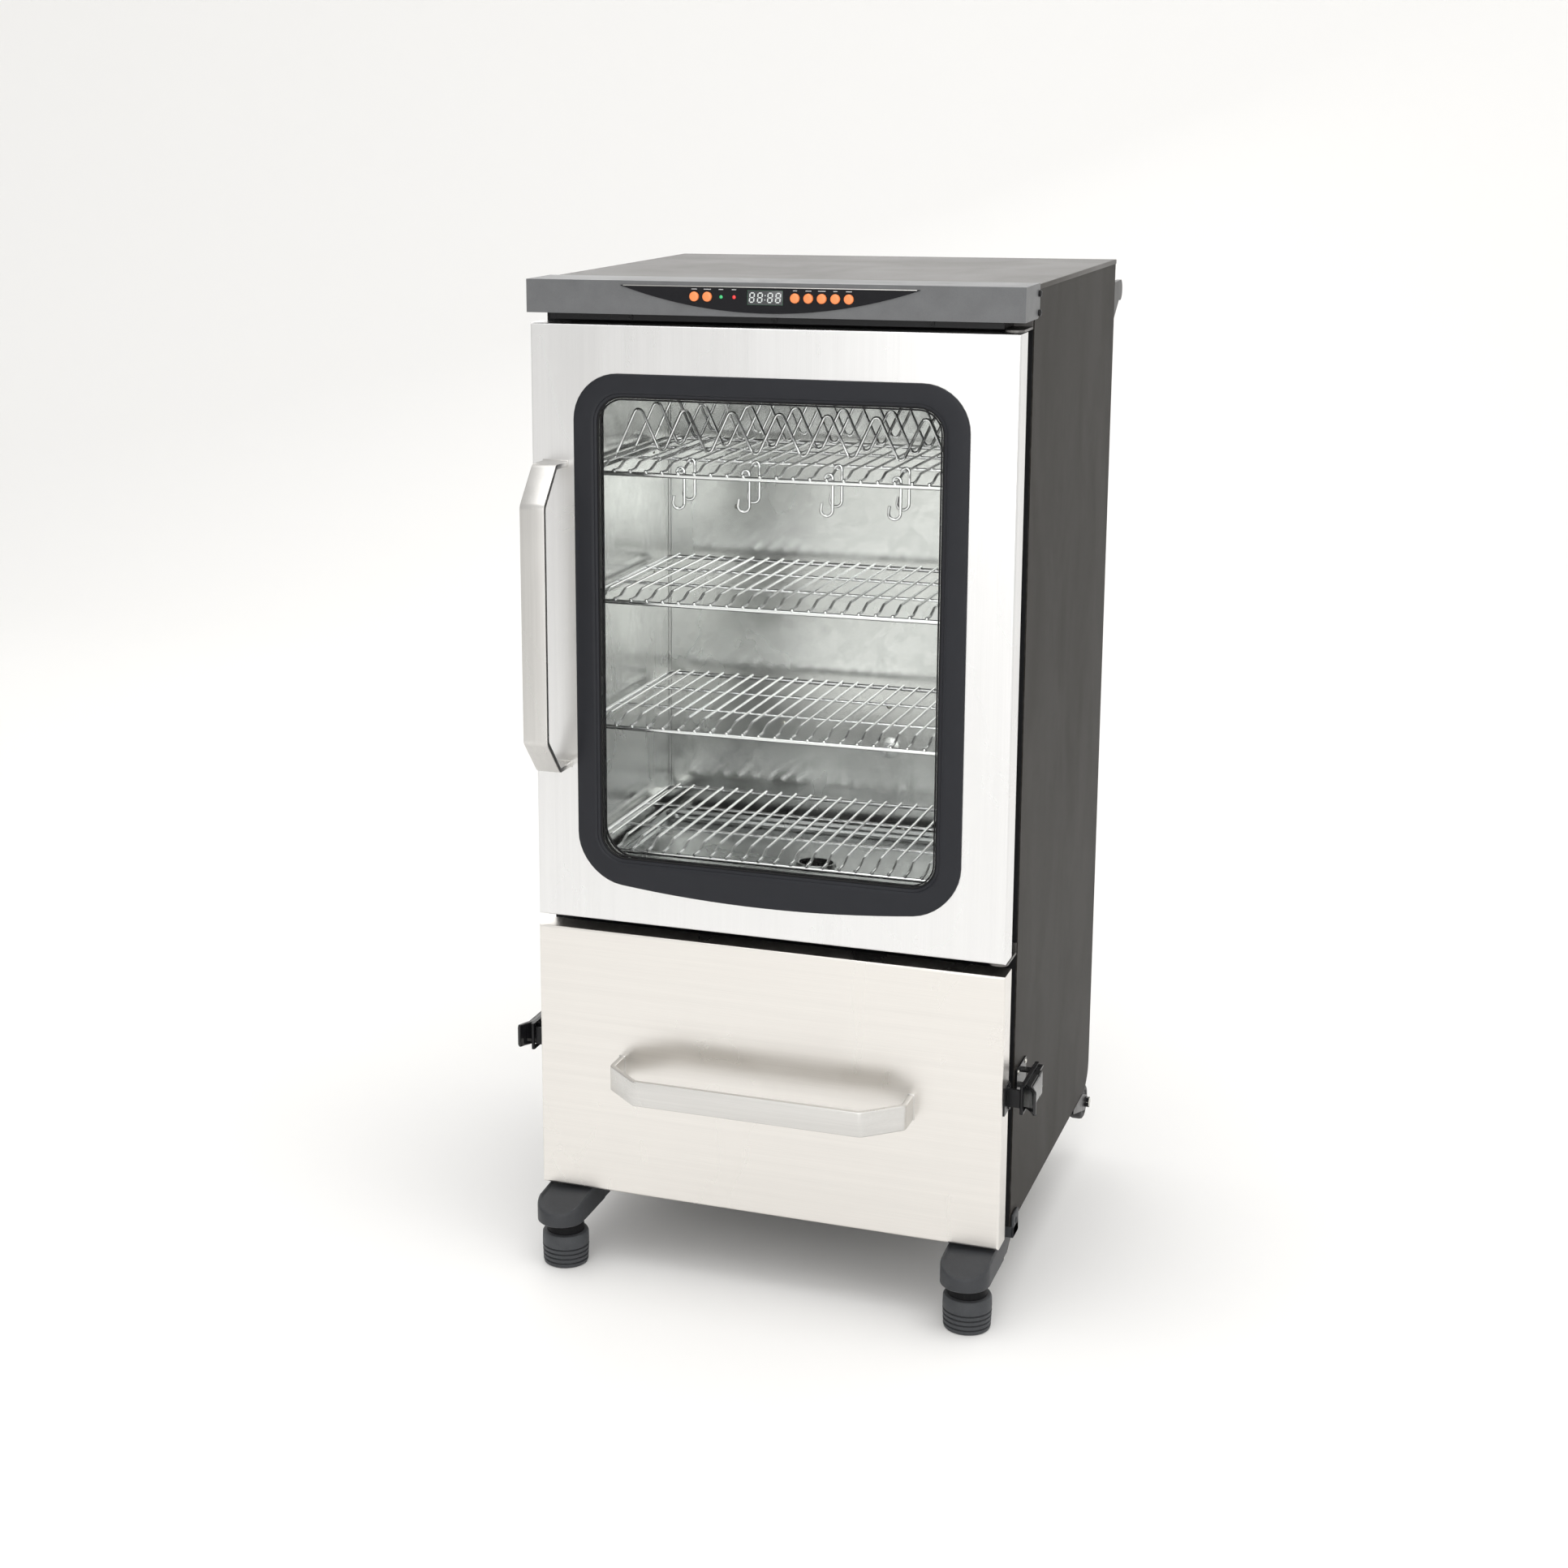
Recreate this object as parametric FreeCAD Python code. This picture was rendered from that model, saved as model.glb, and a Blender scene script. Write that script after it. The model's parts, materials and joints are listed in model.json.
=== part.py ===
"""Electric smoker cabinet with a glazed door, a lower drawer and a digital control head.

Frame: millimetres, +X to the right, -Y towards the person at the door, +Z up. The origin is on the
floor, under the middle of the overall box.
"""
import FreeCAD, Part
import math
import os

V = FreeCAD.Vector

# ---------------------------------------------------------------- cabinet
CAB_W = 530.0            # outside width over the side panels
CAB_D = 440.0            # front frame face to back panel
CAB_H = 1015.5           # side panel height
LEG_H = 93.0             # floor to lower edge of the side panels
SKIN = 1.2               # outer sheet
LINER = 1.0              # inner sheet
WALL_SIDE = 30.0         # insulated side wall
WALL_BACK = 60.0         # insulated back wall
WALL_TOP = 52.5          # insulated roof
WALL_FLOOR = 30.0        # insulated floor
REAR_CORNER_R = 32.0     # rounded lower rear corner
INSULATION_GAP = 0.5     # air left round each insulation slab
FRAME_LIP = 3.0          # front frame overlaps the chamber walls by this much

# ---------------------------------------------------------------- fronts
FRONT_GAP = 52.0         # door face to front frame face
DOOR_INSET = 1.5         # door edge inside the cabinet side
DRAWER_INSET = 1.0
DRAWER_DROP = 5.0        # drawer hangs this far below the cabinet edge
DRAWER_H = 308.0
FRONTS_GAP = 13.0        # door to drawer
HEAD_GAP = 11.0          # door to control head
FRONT_T = 30.0           # depth of the folded door and drawer skins
FOLD_R = 2.5             # outside radius of the folded edges
PAN_INSET = 11.5         # inner pan edge inside the skin edge
PAN_EDGE = 8.0           # inner pan edge inside the skin top and bottom
PAN_BACK = 46.0          # back face of the inner pans
SEAL_W = 16.0            # gasket width
SEAL_GAP = 0.4           # gasket clearance to the frame face
SEAL_INSET = 3.0         # gasket inside the pan edge

# ---------------------------------------------------------------- window
BEZEL_SIDE = 49.0        # door edge to bezel edge
BEZEL_TOP = 51.0
BEZEL_BOTTOM = 50.0
BEZEL_SAG = 16.0         # bowed lower edge
BEZEL_R = 50.0
BEZEL_PROUD = 3.0
RIM_SIDE = 26.5          # bezel edge to clear glass
RIM_TOP = 24.0
RIM_BOTTOM = 23.0
RIM_R = 28.0
GLASS_T = 4.0
GLASS_MARGIN = 12.0      # glass beyond the clear opening
GLASS_GAP = 0.4
TUNNEL_FRONT = 9.0       # front edge of the window tunnel
TUNNEL_LIP = 5.0
TUNNEL_OUTSET = 13.0     # tunnel wall outside the clear opening

# ---------------------------------------------------------------- strap handles
STRAP_W = 28.0
STRAP_T = 6.0
STRAP_OUT = 68.0         # handle projection
STRAP_LEG = 32.0         # square leg before the bend
STRAP_RUN = 40.0         # length of the slanted part along the handle
STRAP_BEND_R = 5.0
DOOR_HANDLE_L = 337.0
DOOR_HANDLE_EDGE = 13.5  # door edge to strap edge
DOOR_HANDLE_Z = 662.0    # handle middle above the drawer's lower edge
DRAWER_HANDLE_L = 337.0
DRAWER_HANDLE_Z = 150.5

# ---------------------------------------------------------------- hinge
PIN_R = 4.0
PIN_FIT = 0.05
PIN_IN = 13.0            # pin engagement in the door
HINGE_EDGE = 8.5         # door edge to pin axis
HINGE_Y = 15.0           # door face to pin axis
HINGE_PLATE = 2.5
HINGE_W = 20.0
HINGE_SHIM = 1.0         # washer between plate and door

# ---------------------------------------------------------------- control head
HEAD_H = 35.0
HEAD_WALL = 3.0
HEAD_SIDE = 2.0
HEAD_TOP = 1.5
HEAD_LAP = 14.0          # side plates reach this far past the frame face
HEAD_CORNER_R = 10.0
SMILE_W = 322.0
SMILE_SAG = 26.5
SMILE_TOP = 4.7          # head top to bezel top
SMILE_T = 3.0
SMILE_PROUD = 1.2
BUTTON_R = 5.0
BUTTON_GAP = 0.3
BUTTON_PROUD = 2.5
BUTTON_TRAVEL = 1.2
BUTTON_DROP = 15.0       # head top to button axis
BUTTON_PITCH = 14.2
BUTTONS_LEFT = (-78.4, -64.2)
BUTTONS_RIGHT = (30.0, 44.2, 58.4, 72.6, 86.8)
LAMPS = (-49.3, -35.2)
LAMP_R = 2.0
DISPLAY_X = -2.0
DISPLAY_W = 38.0
DISPLAY_H = 15.0
BOARD_Y = 18.0
BOARD_T = 1.6
STRIP_SET_BACK = 9.0

# ---------------------------------------------------------------- racks
RACK_COUNT = 4
RACK_FIRST = 65.0        # lowest rack above the door's lower edge
RACK_LAST = 164.0        # top rack below the door's upper edge
RACK_SIDE_GAP = 7.0
RACK_FRONT = 24.0        # frame face to rack
RACK_BACK_GAP = 34.0
RACK_FRAME_R = 2.5
RACK_WIRE_R = 1.5
RACK_RIBS = 24
RACK_CORNER_R = 22.0
RIB_ROWS = 4
RIB_WAVES = 8
RIB_H = 60.0
RIB_WIRE = 3.0
HOOK_ROWS = (12.0, 54.0) # behind the rack front bar
HOOK_RIBS = (5, 9, 14, 18)
HOOK_WIRE_R = 1.5
HOOK_TOP_R = 5.0
HOOK_LOW_R = 8.0
HOOK_DROP = 30.0
LEDGE_W = 13.0
LEDGE_T = 1.5
PROBE_X = 42.0           # probe axis on the back wall
PROBE_RISE = 66.0        # lowest rack to probe
DRIP_RISE = 26.0         # door edge to drip tray
DRIP_DEPTH = 14.0

# ---------------------------------------------------------------- drawer works
SLIDE_Z = 112.0          # slide axis above the drawer's lower edge
RAIL_T = 1.5
RAIL_H = 40.0
RAIL_GAP = 11.5          # rail face to liner
RUNNER_H = 16.0
SLIDE_PLAY = 0.5
DRAWER_TRAVEL = 300.0
TRAY_LIP = 17.0
TRAY_GAP = 2.0
WATER_PAN_L = 150.0      # frame face to the bar between the two trays
HEATER_R = 4.0
HEATER_BEND_R = 90.0
HEATER_LEG = 125.0       # back wall to the start of the bend
HEATER_Z = 38.0          # above the chamber floor

# ---------------------------------------------------------------- latches
LATCH_Z = 167.0          # latch axis above the drawer's lower edge
LATCH_PIVOT_X = 16.0     # pivot outside the cabinet side
LATCH_PIVOT_Y = 32.0     # pivot behind the frame face
LATCH_ARM = 9.0          # bail pin behind the pivot
LATCH_EAR = 9.0
LATCH_T = 2.0
LATCH_REACH = 72.0
BAIL_R = 2.0
BAIL_GAP = 0.3

# ---------------------------------------------------------------- legs and wheels
LEG_W = 54.0
LEG_EDGE = 31.5          # leg middle inside the cabinet side
LEG_TIP = 47.0           # leg reaches this far in front of the door face
LEG_T = 33.0             # drawer edge down to leg underside
LEG_LIP = 15.0
LEG_TAIL = 60.0          # leg reaches this far behind the frame face
LEG_GAP = 1.5            # drawer edge to leg
PAD_R = 26.5
PAD_H = 26.0
PAD_COLLAR_R = 24.0
PAD_TRAVEL = 15.0
PAD_FRONT = 8.0          # pad axis in front of the door face
STUD_R = 6.0
STUD_IN = 25.0           # stud engagement in the leg
REAR_FOOT_X = 150.0
REAR_FOOT_Y = 60.0       # foot axis in front of the back panel
REAR_FOOT_R = 18.0
WHEEL_R = 22.0
WHEEL_W = 16.0
WHEEL_BACK = 10.0        # axle in front of the back panel
WHEEL_DROP = 20.0        # axle below the cabinet edge
WHEEL_EDGE = 2.0         # wheel face inside the cabinet side
AXLE_R = 4.0

# ---------------------------------------------------------------- back
GRIP_OUT = 43.0
GRIP_R = 8.0
GRIP_DROP = 38.0         # cabinet top to grip axis
GRIP_ARM_T = 5.0
VENT_X = 130.0
VENT_DROP = 130.0        # cabinet top to vent axis
VENT_R = 32.0
VENT_FLANGE_R = 44.0
DAMPER_T = 1.5
INLET_X = -170.0
INLET_Z = 90.0           # above the cabinet edge
INLET_W = 50.0
INLET_H = 36.0

# ---------------------------------------------------------------- places worked out from the above
CAB_X = CAB_W / 2
CAB_Y0 = FRONT_GAP
CAB_Y1 = CAB_Y0 + CAB_D
CAB_Z0 = LEG_H
CAB_Z1 = CAB_Z0 + CAB_H
DRAWER_X = CAB_X - DRAWER_INSET
DRAWER_Z0 = CAB_Z0 - DRAWER_DROP
DRAWER_Z1 = DRAWER_Z0 + DRAWER_H
HEAD_Z1 = CAB_Z1 + HEAD_TOP
HEAD_Z0 = HEAD_Z1 - HEAD_H
DOOR_X = CAB_X - DOOR_INSET
DOOR_Z0 = DRAWER_Z1 + FRONTS_GAP
DOOR_Z1 = HEAD_Z0 - HEAD_GAP
ROOM_X = CAB_X - WALL_SIDE
ROOM_Y1 = CAB_Y1 - WALL_BACK
ROOM_Z0 = CAB_Z0 + WALL_FLOOR
ROOM_Z1 = CAB_Z1 - WALL_TOP
PIVOT_X = DOOR_X - HINGE_EDGE
RACK_X = ROOM_X - RACK_SIDE_GAP
RACK_Y0 = CAB_Y0 + RACK_FRONT
RACK_Y1 = ROOM_Y1 - RACK_BACK_GAP
RACK_PITCH = (DOOR_Z1 - RACK_LAST - DOOR_Z0 - RACK_FIRST) / (RACK_COUNT - 1)
RACK_Z = [DOOR_Z0 + RACK_FIRST + RACK_PITCH * i for i in range(RACK_COUNT)]
RAIL_X = ROOM_X - RAIL_GAP
RAIL_Z = DRAWER_Z0 + SLIDE_Z
RAIL_Y1 = ROOM_Y1 - TRAY_LIP * 3
BEZEL_X = DOOR_X - BEZEL_SIDE
BEZEL_Z0 = DOOR_Z0 + BEZEL_BOTTOM
BEZEL_Z1 = DOOR_Z1 - BEZEL_TOP
CLEAR_X = BEZEL_X - RIM_SIDE
CLEAR_Z0 = BEZEL_Z0 + RIM_BOTTOM
CLEAR_Z1 = BEZEL_Z1 - RIM_TOP
PROBE_Z = RACK_Z[0] + PROBE_RISE
DRIP_Z = DOOR_Z0 + DRIP_RISE
TRAY_SPLIT = CAB_Y0 + WATER_PAN_L
PIVOT_OUT = CAB_X + LATCH_PIVOT_X
PIVOT_BACK = CAB_Y0 + LATCH_PIVOT_Y
LEG_X = CAB_X - LEG_EDGE
LEG_LOW = DRAWER_Z0 - LEG_T
WHEEL_Y = CAB_Y1 - WHEEL_BACK
WHEEL_Z = CAB_Z0 - WHEEL_DROP
WHEEL_X1 = CAB_X - WHEEL_EDGE
WHEEL_X0 = WHEEL_X1 - WHEEL_W
ORIGIN_Y = (CAB_Y1 + GRIP_OUT + GRIP_R + 4.0 - STRAP_OUT) / 2

os.makedirs("parts", exist_ok=True)


# ---------------------------------------------------------------- helpers
def box(x0, x1, y0, y1, z0, z1):
    """Axis-aligned block between two corners."""
    return Part.makeBox(x1 - x0, y1 - y0, z1 - z0, V(x0, y0, z0))


def rod(start, end, radius):
    """Cylinder from one point to another."""
    way = V(*end) - V(*start)
    return Part.makeCylinder(radius, way.Length, V(*start), way)


def fuse(*shapes):
    """One solid from several that meet."""
    first, rest = shapes[0], list(shapes[1:])
    return first.fuse(rest).removeSplitter() if rest else first


def mirrored(shape):
    """Left-hand copy of a right-hand piece."""
    return shape.mirror(V(0, 0, 0), V(1, 0, 0))


def both(shape):
    """A right-hand piece and its left-hand copy as one group."""
    return Part.makeCompound([shape, mirrored(shape)])


def edges_along(shape, axis, keep=lambda middle: True):
    """Straight edges parallel to an axis whose middle point passes a test."""
    found = []
    for edge in shape.Edges:
        if len(edge.Vertexes) != 2 or edge.Curve.TypeId != "Part::GeomLine":
            continue
        way = edge.Vertexes[1].Point - edge.Vertexes[0].Point
        if abs(way.normalize().dot(V(*axis))) > 0.999 and keep(edge.CenterOfMass):
            found.append(edge)
    return found


def rounded(shape, radius, axis, keep=lambda middle: True):
    """Fillet on the edges parallel to an axis."""
    return shape.makeFillet(radius, edges_along(shape, axis, keep))


def prism(points, axis, depth):
    """Polygon of 3-D points pushed along an axis."""
    wire = Part.makePolygon([V(*p) for p in points] + [V(*points[0])])
    return Part.Face(wire).extrude(V(*axis) * depth)


def window_block(half, z0, z1, radius, y0, y1):
    """Block with rounded corners seen from the front."""
    return rounded(box(-half, half, y0, y1, z0, z1), radius, (0, 1, 0))


def bowed_block(half, z0, z1, sag, radius, y0, y1):
    """Rounded block whose lower edge bows downwards."""
    left, right = V(-half, y0, z0), V(half, y0, z0)
    top_left, top_right = V(-half, y0, z1), V(half, y0, z1)
    bow = Part.Arc(left, V(0, y0, z0 - sag), right).toShape()
    corners = (right, top_right, top_left, left)
    sides = [Part.makeLine(a, b) for a, b in zip(corners, corners[1:])]
    block = Part.Face(Part.Wire([bow] + sides)).extrude(V(0, y1 - y0, 0))
    return rounded(block, radius, (0, 1, 0))


def ring(outer_half, inner_half, z0, z1, width, y0, y1, radius):
    """Flat rectangular gasket ring."""
    outer = window_block(outer_half, z0, z1, radius, y0, y1)
    inner = box(-inner_half, inner_half, y0, y1, z0 + width, z1 - width)
    return outer.cut(inner)


def offset_line(points, shift):
    """Open polyline in a plane moved sideways by a distance, with mitred corners."""
    moved = []
    for i, (u, v) in enumerate(points):
        before = points[max(i - 1, 0)]
        after = points[min(i + 1, len(points) - 1)]
        normals = []
        for a, b in ((before, (u, v)), ((u, v), after)):
            length = math.dist(a, b)
            if length > 0:
                normals.append(((a[1] - b[1]) / length, (b[0] - a[0]) / length))
        mid = [sum(n[k] for n in normals) / len(normals) for k in (0, 1)]
        scale = shift / (mid[0] ** 2 + mid[1] ** 2)
        moved.append((u + mid[0] * scale, v + mid[1] * scale))
    return moved


def strap_profile(length):
    """Closed outline of a strap handle: legs at y = 0, grip at y = -STRAP_OUT."""
    half = length / 2
    grip = half - STRAP_RUN
    outer = [(-half, 0), (-half, -STRAP_LEG), (-grip, -STRAP_OUT),
             (grip, -STRAP_OUT), (half, -STRAP_LEG), (half, 0)]
    return outer + offset_line(outer, STRAP_T)[::-1]


def strap_handle(length):
    """Strap handle that lies along X, centred on the origin."""
    outline = [(u, v, -STRAP_W / 2) for u, v in strap_profile(length)]
    strap = prism(outline, (0, 0, 1), STRAP_W)
    return rounded(strap, STRAP_BEND_R, (0, 0, 1), lambda m: m.y < -STRAP_LEG / 2)


PARTS = {}


def add(name, shape):
    """Keep a named piece, moved to the model's origin."""
    moved = shape.copy()
    moved.translate(V(0, -ORIGIN_Y, 0))
    PARTS[name] = moved


# ---------------------------------------------------------------- cabinet
def vent_hole(y0, y1, radius):
    """Round passage of the smoke outlet."""
    z = CAB_Z1 - VENT_DROP
    return rod((VENT_X, y0, z), (VENT_X, y1, z), radius)


def inlet_hole(y0, y1, margin):
    """Rectangular passage of the mains inlet."""
    z = CAB_Z0 + INLET_Z
    half_w, half_h = INLET_W / 2 + margin, INLET_H / 2 + margin
    return box(INLET_X - half_w, INLET_X + half_w, y0, y1, z - half_h, z + half_h)


def side_panel():
    """Right side panel with the rounded lower rear corner."""
    plate = box(CAB_X - SKIN, CAB_X, CAB_Y0, CAB_Y1, CAB_Z0, CAB_Z1 - SKIN)
    return rounded(plate, REAR_CORNER_R, (1, 0, 0), lambda m: m.y > CAB_Y1 - 1 and m.z < CAB_Z0 + 1)


def back_shell():
    """Back and floor in one folded sheet."""
    half = CAB_X - SKIN
    top = CAB_Z1 - SKIN
    low_rear = (lambda m: m.y > CAB_Y0 + CAB_D / 2 and m.z < CAB_Z0 + CAB_H / 2)
    outer = box(-half, half, CAB_Y0 + SKIN, CAB_Y1, CAB_Z0, top)
    inner = box(-half, half, CAB_Y0 + SKIN, CAB_Y1 - SKIN, CAB_Z0 + SKIN, top)
    outer = rounded(outer, REAR_CORNER_R, (1, 0, 0), low_rear)
    inner = rounded(inner, REAR_CORNER_R - SKIN, (1, 0, 0), low_rear)
    holes = vent_hole(CAB_Y1 - 5, CAB_Y1 + 5, VENT_R).fuse(inlet_hole(CAB_Y1 - 5, CAB_Y1 + 5, 0))
    return outer.cut(inner).cut(holes)


def front_frame():
    """Face frame with the door and drawer openings."""
    half = CAB_X - SKIN
    opening = ROOM_X - FRAME_LIP
    seam = PAN_EDGE + SEAL_INSET + SEAL_W
    plate = box(-half, half, CAB_Y0, CAB_Y0 + SKIN, CAB_Z0, CAB_Z1 - SKIN)
    door_hole = box(-opening, opening, CAB_Y0 - 1, CAB_Y0 + 5, DOOR_Z0 + seam, DOOR_Z1 - seam)
    drawer_hole = box(-opening, opening, CAB_Y0 - 1, CAB_Y0 + 5, ROOM_Z0 + FRAME_LIP, DRAWER_Z1 - seam)
    return plate.cut(door_hole).cut(drawer_hole)


def chamber_liner():
    """Inner box of the chamber, open at the front."""
    y0 = CAB_Y0 + SKIN
    outer = box(-ROOM_X - LINER, ROOM_X + LINER, y0, ROOM_Y1 + LINER, ROOM_Z0 - LINER, ROOM_Z1 + LINER)
    inner = box(-ROOM_X, ROOM_X, y0 - 1, ROOM_Y1, ROOM_Z0, ROOM_Z1)
    slot = box(-HEATER_BEND_R - 14, HEATER_BEND_R + 14, ROOM_Y1 - 1, ROOM_Y1 + 5,
               ROOM_Z0 + HEATER_Z - 8, ROOM_Z0 + HEATER_Z + 8)
    return outer.cut(inner).cut(vent_hole(ROOM_Y1 - 5, ROOM_Y1 + 5, VENT_R)).cut(slot)


def insulation():
    """Five mineral wool slabs between liner and skin."""
    gap = INSULATION_GAP
    skin = CAB_X - SKIN - gap
    side_in = ROOM_X + LINER + gap
    y0, y1 = CAB_Y0 + SKIN + gap, CAB_Y1 - SKIN - gap
    low, high = CAB_Z0 + REAR_CORNER_R, CAB_Z1 - SKIN - gap
    floor_top = ROOM_Z0 - LINER - gap
    side = box(side_in, skin, y0, y1, low, high)
    back = box(-ROOM_X, ROOM_X, ROOM_Y1 + LINER + gap, y1, low, ROOM_Z1)
    back = back.cut(vent_hole(ROOM_Y1, CAB_Y1, VENT_R + 3)).cut(inlet_hole(ROOM_Y1, CAB_Y1, 2))
    slot = box(-HEATER_BEND_R - 16, HEATER_BEND_R + 16, ROOM_Y1, ROOM_Y1 + 26,
               ROOM_Z0 + HEATER_Z - 12, ROOM_Z0 + HEATER_Z + 12)
    back = back.cut(slot)
    roof = box(-ROOM_X, ROOM_X, y0, y1, ROOM_Z1 + LINER + gap, high)
    base = box(-skin, skin, y0, CAB_Y1 - REAR_CORNER_R, CAB_Z0 + SKIN + gap, floor_top)
    return Part.makeCompound([side, mirrored(side), back, roof, base])


def build_cabinet():
    """Outer panels, frame, liner and insulation."""
    add("side_panel_right", side_panel())
    add("side_panel_left", mirrored(side_panel()))
    add("back_shell", back_shell())
    add("top_panel", box(-CAB_X, CAB_X, CAB_Y0, CAB_Y1, CAB_Z1 - SKIN, CAB_Z1))
    add("front_frame", front_frame())
    add("chamber_liner", chamber_liner())
    add("insulation", insulation())


# ---------------------------------------------------------------- inside the chamber
def rack(z):
    """One wire rack: a round-cornered frame, two cross wires and the ribs on top."""
    r, bend = RACK_FRAME_R, RACK_CORNER_R
    x0, x1 = -RACK_X + r, RACK_X - r
    y0, y1 = RACK_Y0 + r, RACK_Y1 - r
    pieces = [rod((x0 + bend, y, z), (x1 - bend, y, z), r) for y in (y0, y1)]
    pieces += [rod((x, y0 + bend, z), (x, y1 - bend, z), r) for x in (x0, x1)]
    corners = ((x1 - bend, y1 - bend, 0), (x0 + bend, y1 - bend, 90),
               (x0 + bend, y0 + bend, 180), (x1 - bend, y0 + bend, 270))
    for x, y, turn in corners:
        quarter = Part.makeTorus(bend, r, V(0, 0, 0), V(0, 0, 1), 0, 360, 90)
        quarter.rotate(V(0, 0, 0), V(0, 0, 1), turn)
        quarter.translate(V(x, y, z))
        pieces.append(quarter)
    for share in (1 / 3, 2 / 3):
        y = y0 + (y1 - y0) * share
        pieces.append(rod((x0, y, z), (x1, y, z), RACK_WIRE_R))
    for x in rib_places():
        pieces.append(rod((x, y0, z + r), (x, y1, z + r), RACK_WIRE_R))
    return fuse(*pieces)


def rib_places():
    """X of each front-to-back rack wire."""
    half = RACK_X - RACK_FRAME_R - 13.0
    return [-half + 2 * half * i / (RACK_RIBS - 1) for i in range(RACK_RIBS)]


def rib_rack():
    """Zigzag stand on the top rack, its rows joined by two rods."""
    base = RACK_Z[-1] + RACK_FRAME_R + RACK_WIRE_R + 0.5
    half = RACK_X - 14.0
    step = 2 * half / (2 * RIB_WAVES)
    line = []
    for i in range(2 * RIB_WAVES + 1):
        line.append((-half + step * i, base + RIB_WIRE + (RIB_H - 2 * RIB_WIRE) * (i % 2)))
    outline = line + offset_line(line, RIB_WIRE)[::-1]
    rows = []
    first, last = RACK_Y0 + 80.0, RACK_Y1 - 24.0
    for row in range(RIB_ROWS):
        y = first + (last - first) * row / (RIB_ROWS - 1)
        rows.append(prism([(x, y, z) for x, z in outline], (0, 1, 0), RIB_WIRE))
    foot = half - 2 * step
    rods = [box(x - 2, x + 2, first, last + RIB_WIRE, base, base + 4) for x in (-foot, foot)]
    return fuse(*(rods + rows))


def hook(x, y, z):
    """S-shaped hook over a rack wire at (x, y, z)."""
    r = HOOK_WIRE_R
    over = Part.makeTorus(HOOK_TOP_R, r, V(0, 0, 0), V(0, 0, 1), 0, 360, 180)
    over.rotate(V(0, 0, 0), V(1, 0, 0), 90)
    under = Part.makeTorus(HOOK_LOW_R, r, V(0, 0, 0), V(0, 0, 1), 0, 360, 180)
    under.rotate(V(0, 0, 0), V(1, 0, 0), -90)
    over.translate(V(x, y, z))
    side = x + HOOK_TOP_R
    under.translate(V(side - HOOK_LOW_R, y, z - HOOK_DROP))
    shank = rod((side, y, z - HOOK_DROP), (side, y, z), r)
    tip = rod((side - 2 * HOOK_LOW_R, y, z - HOOK_DROP), (side - 2 * HOOK_LOW_R, y, z - HOOK_DROP + 5), r)
    return fuse(shank, over, under, tip)


def meat_hooks():
    """Two rows of hooks on the ribs of the top rack."""
    z = RACK_Z[-1] + RACK_FRAME_R
    places = rib_places()
    hooks = []
    for set_back in HOOK_ROWS:
        for rib in HOOK_RIBS:
            hooks.append(hook(places[rib], RACK_Y0 + set_back, z))
    return Part.makeCompound(hooks)


def guide_rails():
    """Rack ledges and drawer slide channels on both chamber walls."""
    pieces = []
    wall = ROOM_X
    y0, y1 = RACK_Y0, RACK_Y1 + 10
    for z in [level - RACK_FRAME_R for level in RACK_Z] + [DRIP_Z]:
        shelf = box(wall - LEDGE_W, wall, y0, y1, z - LEDGE_T, z)
        apron = box(wall - LEDGE_T, wall, y0, y1, z - 12, z)
        pieces.append(fuse(shelf, apron))
    inside = RUNNER_H / 2 + SLIDE_PLAY
    web = box(wall - 1, wall, CAB_Y0 + 8, ROOM_Y1 - 7, RAIL_Z - inside - LEDGE_T, RAIL_Z + inside + LEDGE_T)
    low = box(wall - 9, wall, CAB_Y0 + 8, ROOM_Y1 - 7, RAIL_Z - inside - LEDGE_T, RAIL_Z - inside)
    high = box(wall - 9, wall, CAB_Y0 + 8, ROOM_Y1 - 7, RAIL_Z + inside, RAIL_Z + inside + LEDGE_T)
    pieces.append(fuse(web, low, high))
    return Part.makeCompound(pieces + [mirrored(p) for p in pieces])


def drip_tray():
    """Shallow tray under the racks with a raised drain neck."""
    x, y0, y1 = RACK_X, RACK_Y0, RACK_Y1
    outer = box(-x, x, y0, y1, DRIP_Z, DRIP_Z + DRIP_DEPTH)
    inner = box(-x + 1.5, x - 1.5, y0 + 1.5, y1 - 1.5, DRIP_Z + 1.5, DRIP_Z + DRIP_DEPTH)
    y = (y0 + y1) / 2
    neck = rod((0, y, DRIP_Z), (0, y, DRIP_Z + 6), 22)
    bore = rod((0, y, DRIP_Z - 1), (0, y, DRIP_Z + 8), 20)
    return fuse(outer.cut(inner), neck).cut(bore)


def heating_element():
    """U-shaped tube heater on its mounting plate."""
    z = ROOM_Z0 + HEATER_Z
    bend_y = ROOM_Y1 - HEATER_LEG
    rear = ROOM_Y1 + 20
    half_turn = Part.makeTorus(HEATER_BEND_R, HEATER_R, V(0, 0, 0), V(0, 0, 1), 0, 360, 180)
    half_turn.rotate(V(0, 0, 0), V(0, 0, 1), 180)
    half_turn.translate(V(0, bend_y, z))
    legs = [rod((x, bend_y, z), (x, rear, z), HEATER_R) for x in (-HEATER_BEND_R, HEATER_BEND_R)]
    plate = box(-HEATER_BEND_R - 20, HEATER_BEND_R + 20, ROOM_Y1 - 3, ROOM_Y1, z - 14, z + 14)
    return fuse(plate, half_turn, *legs)


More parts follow.
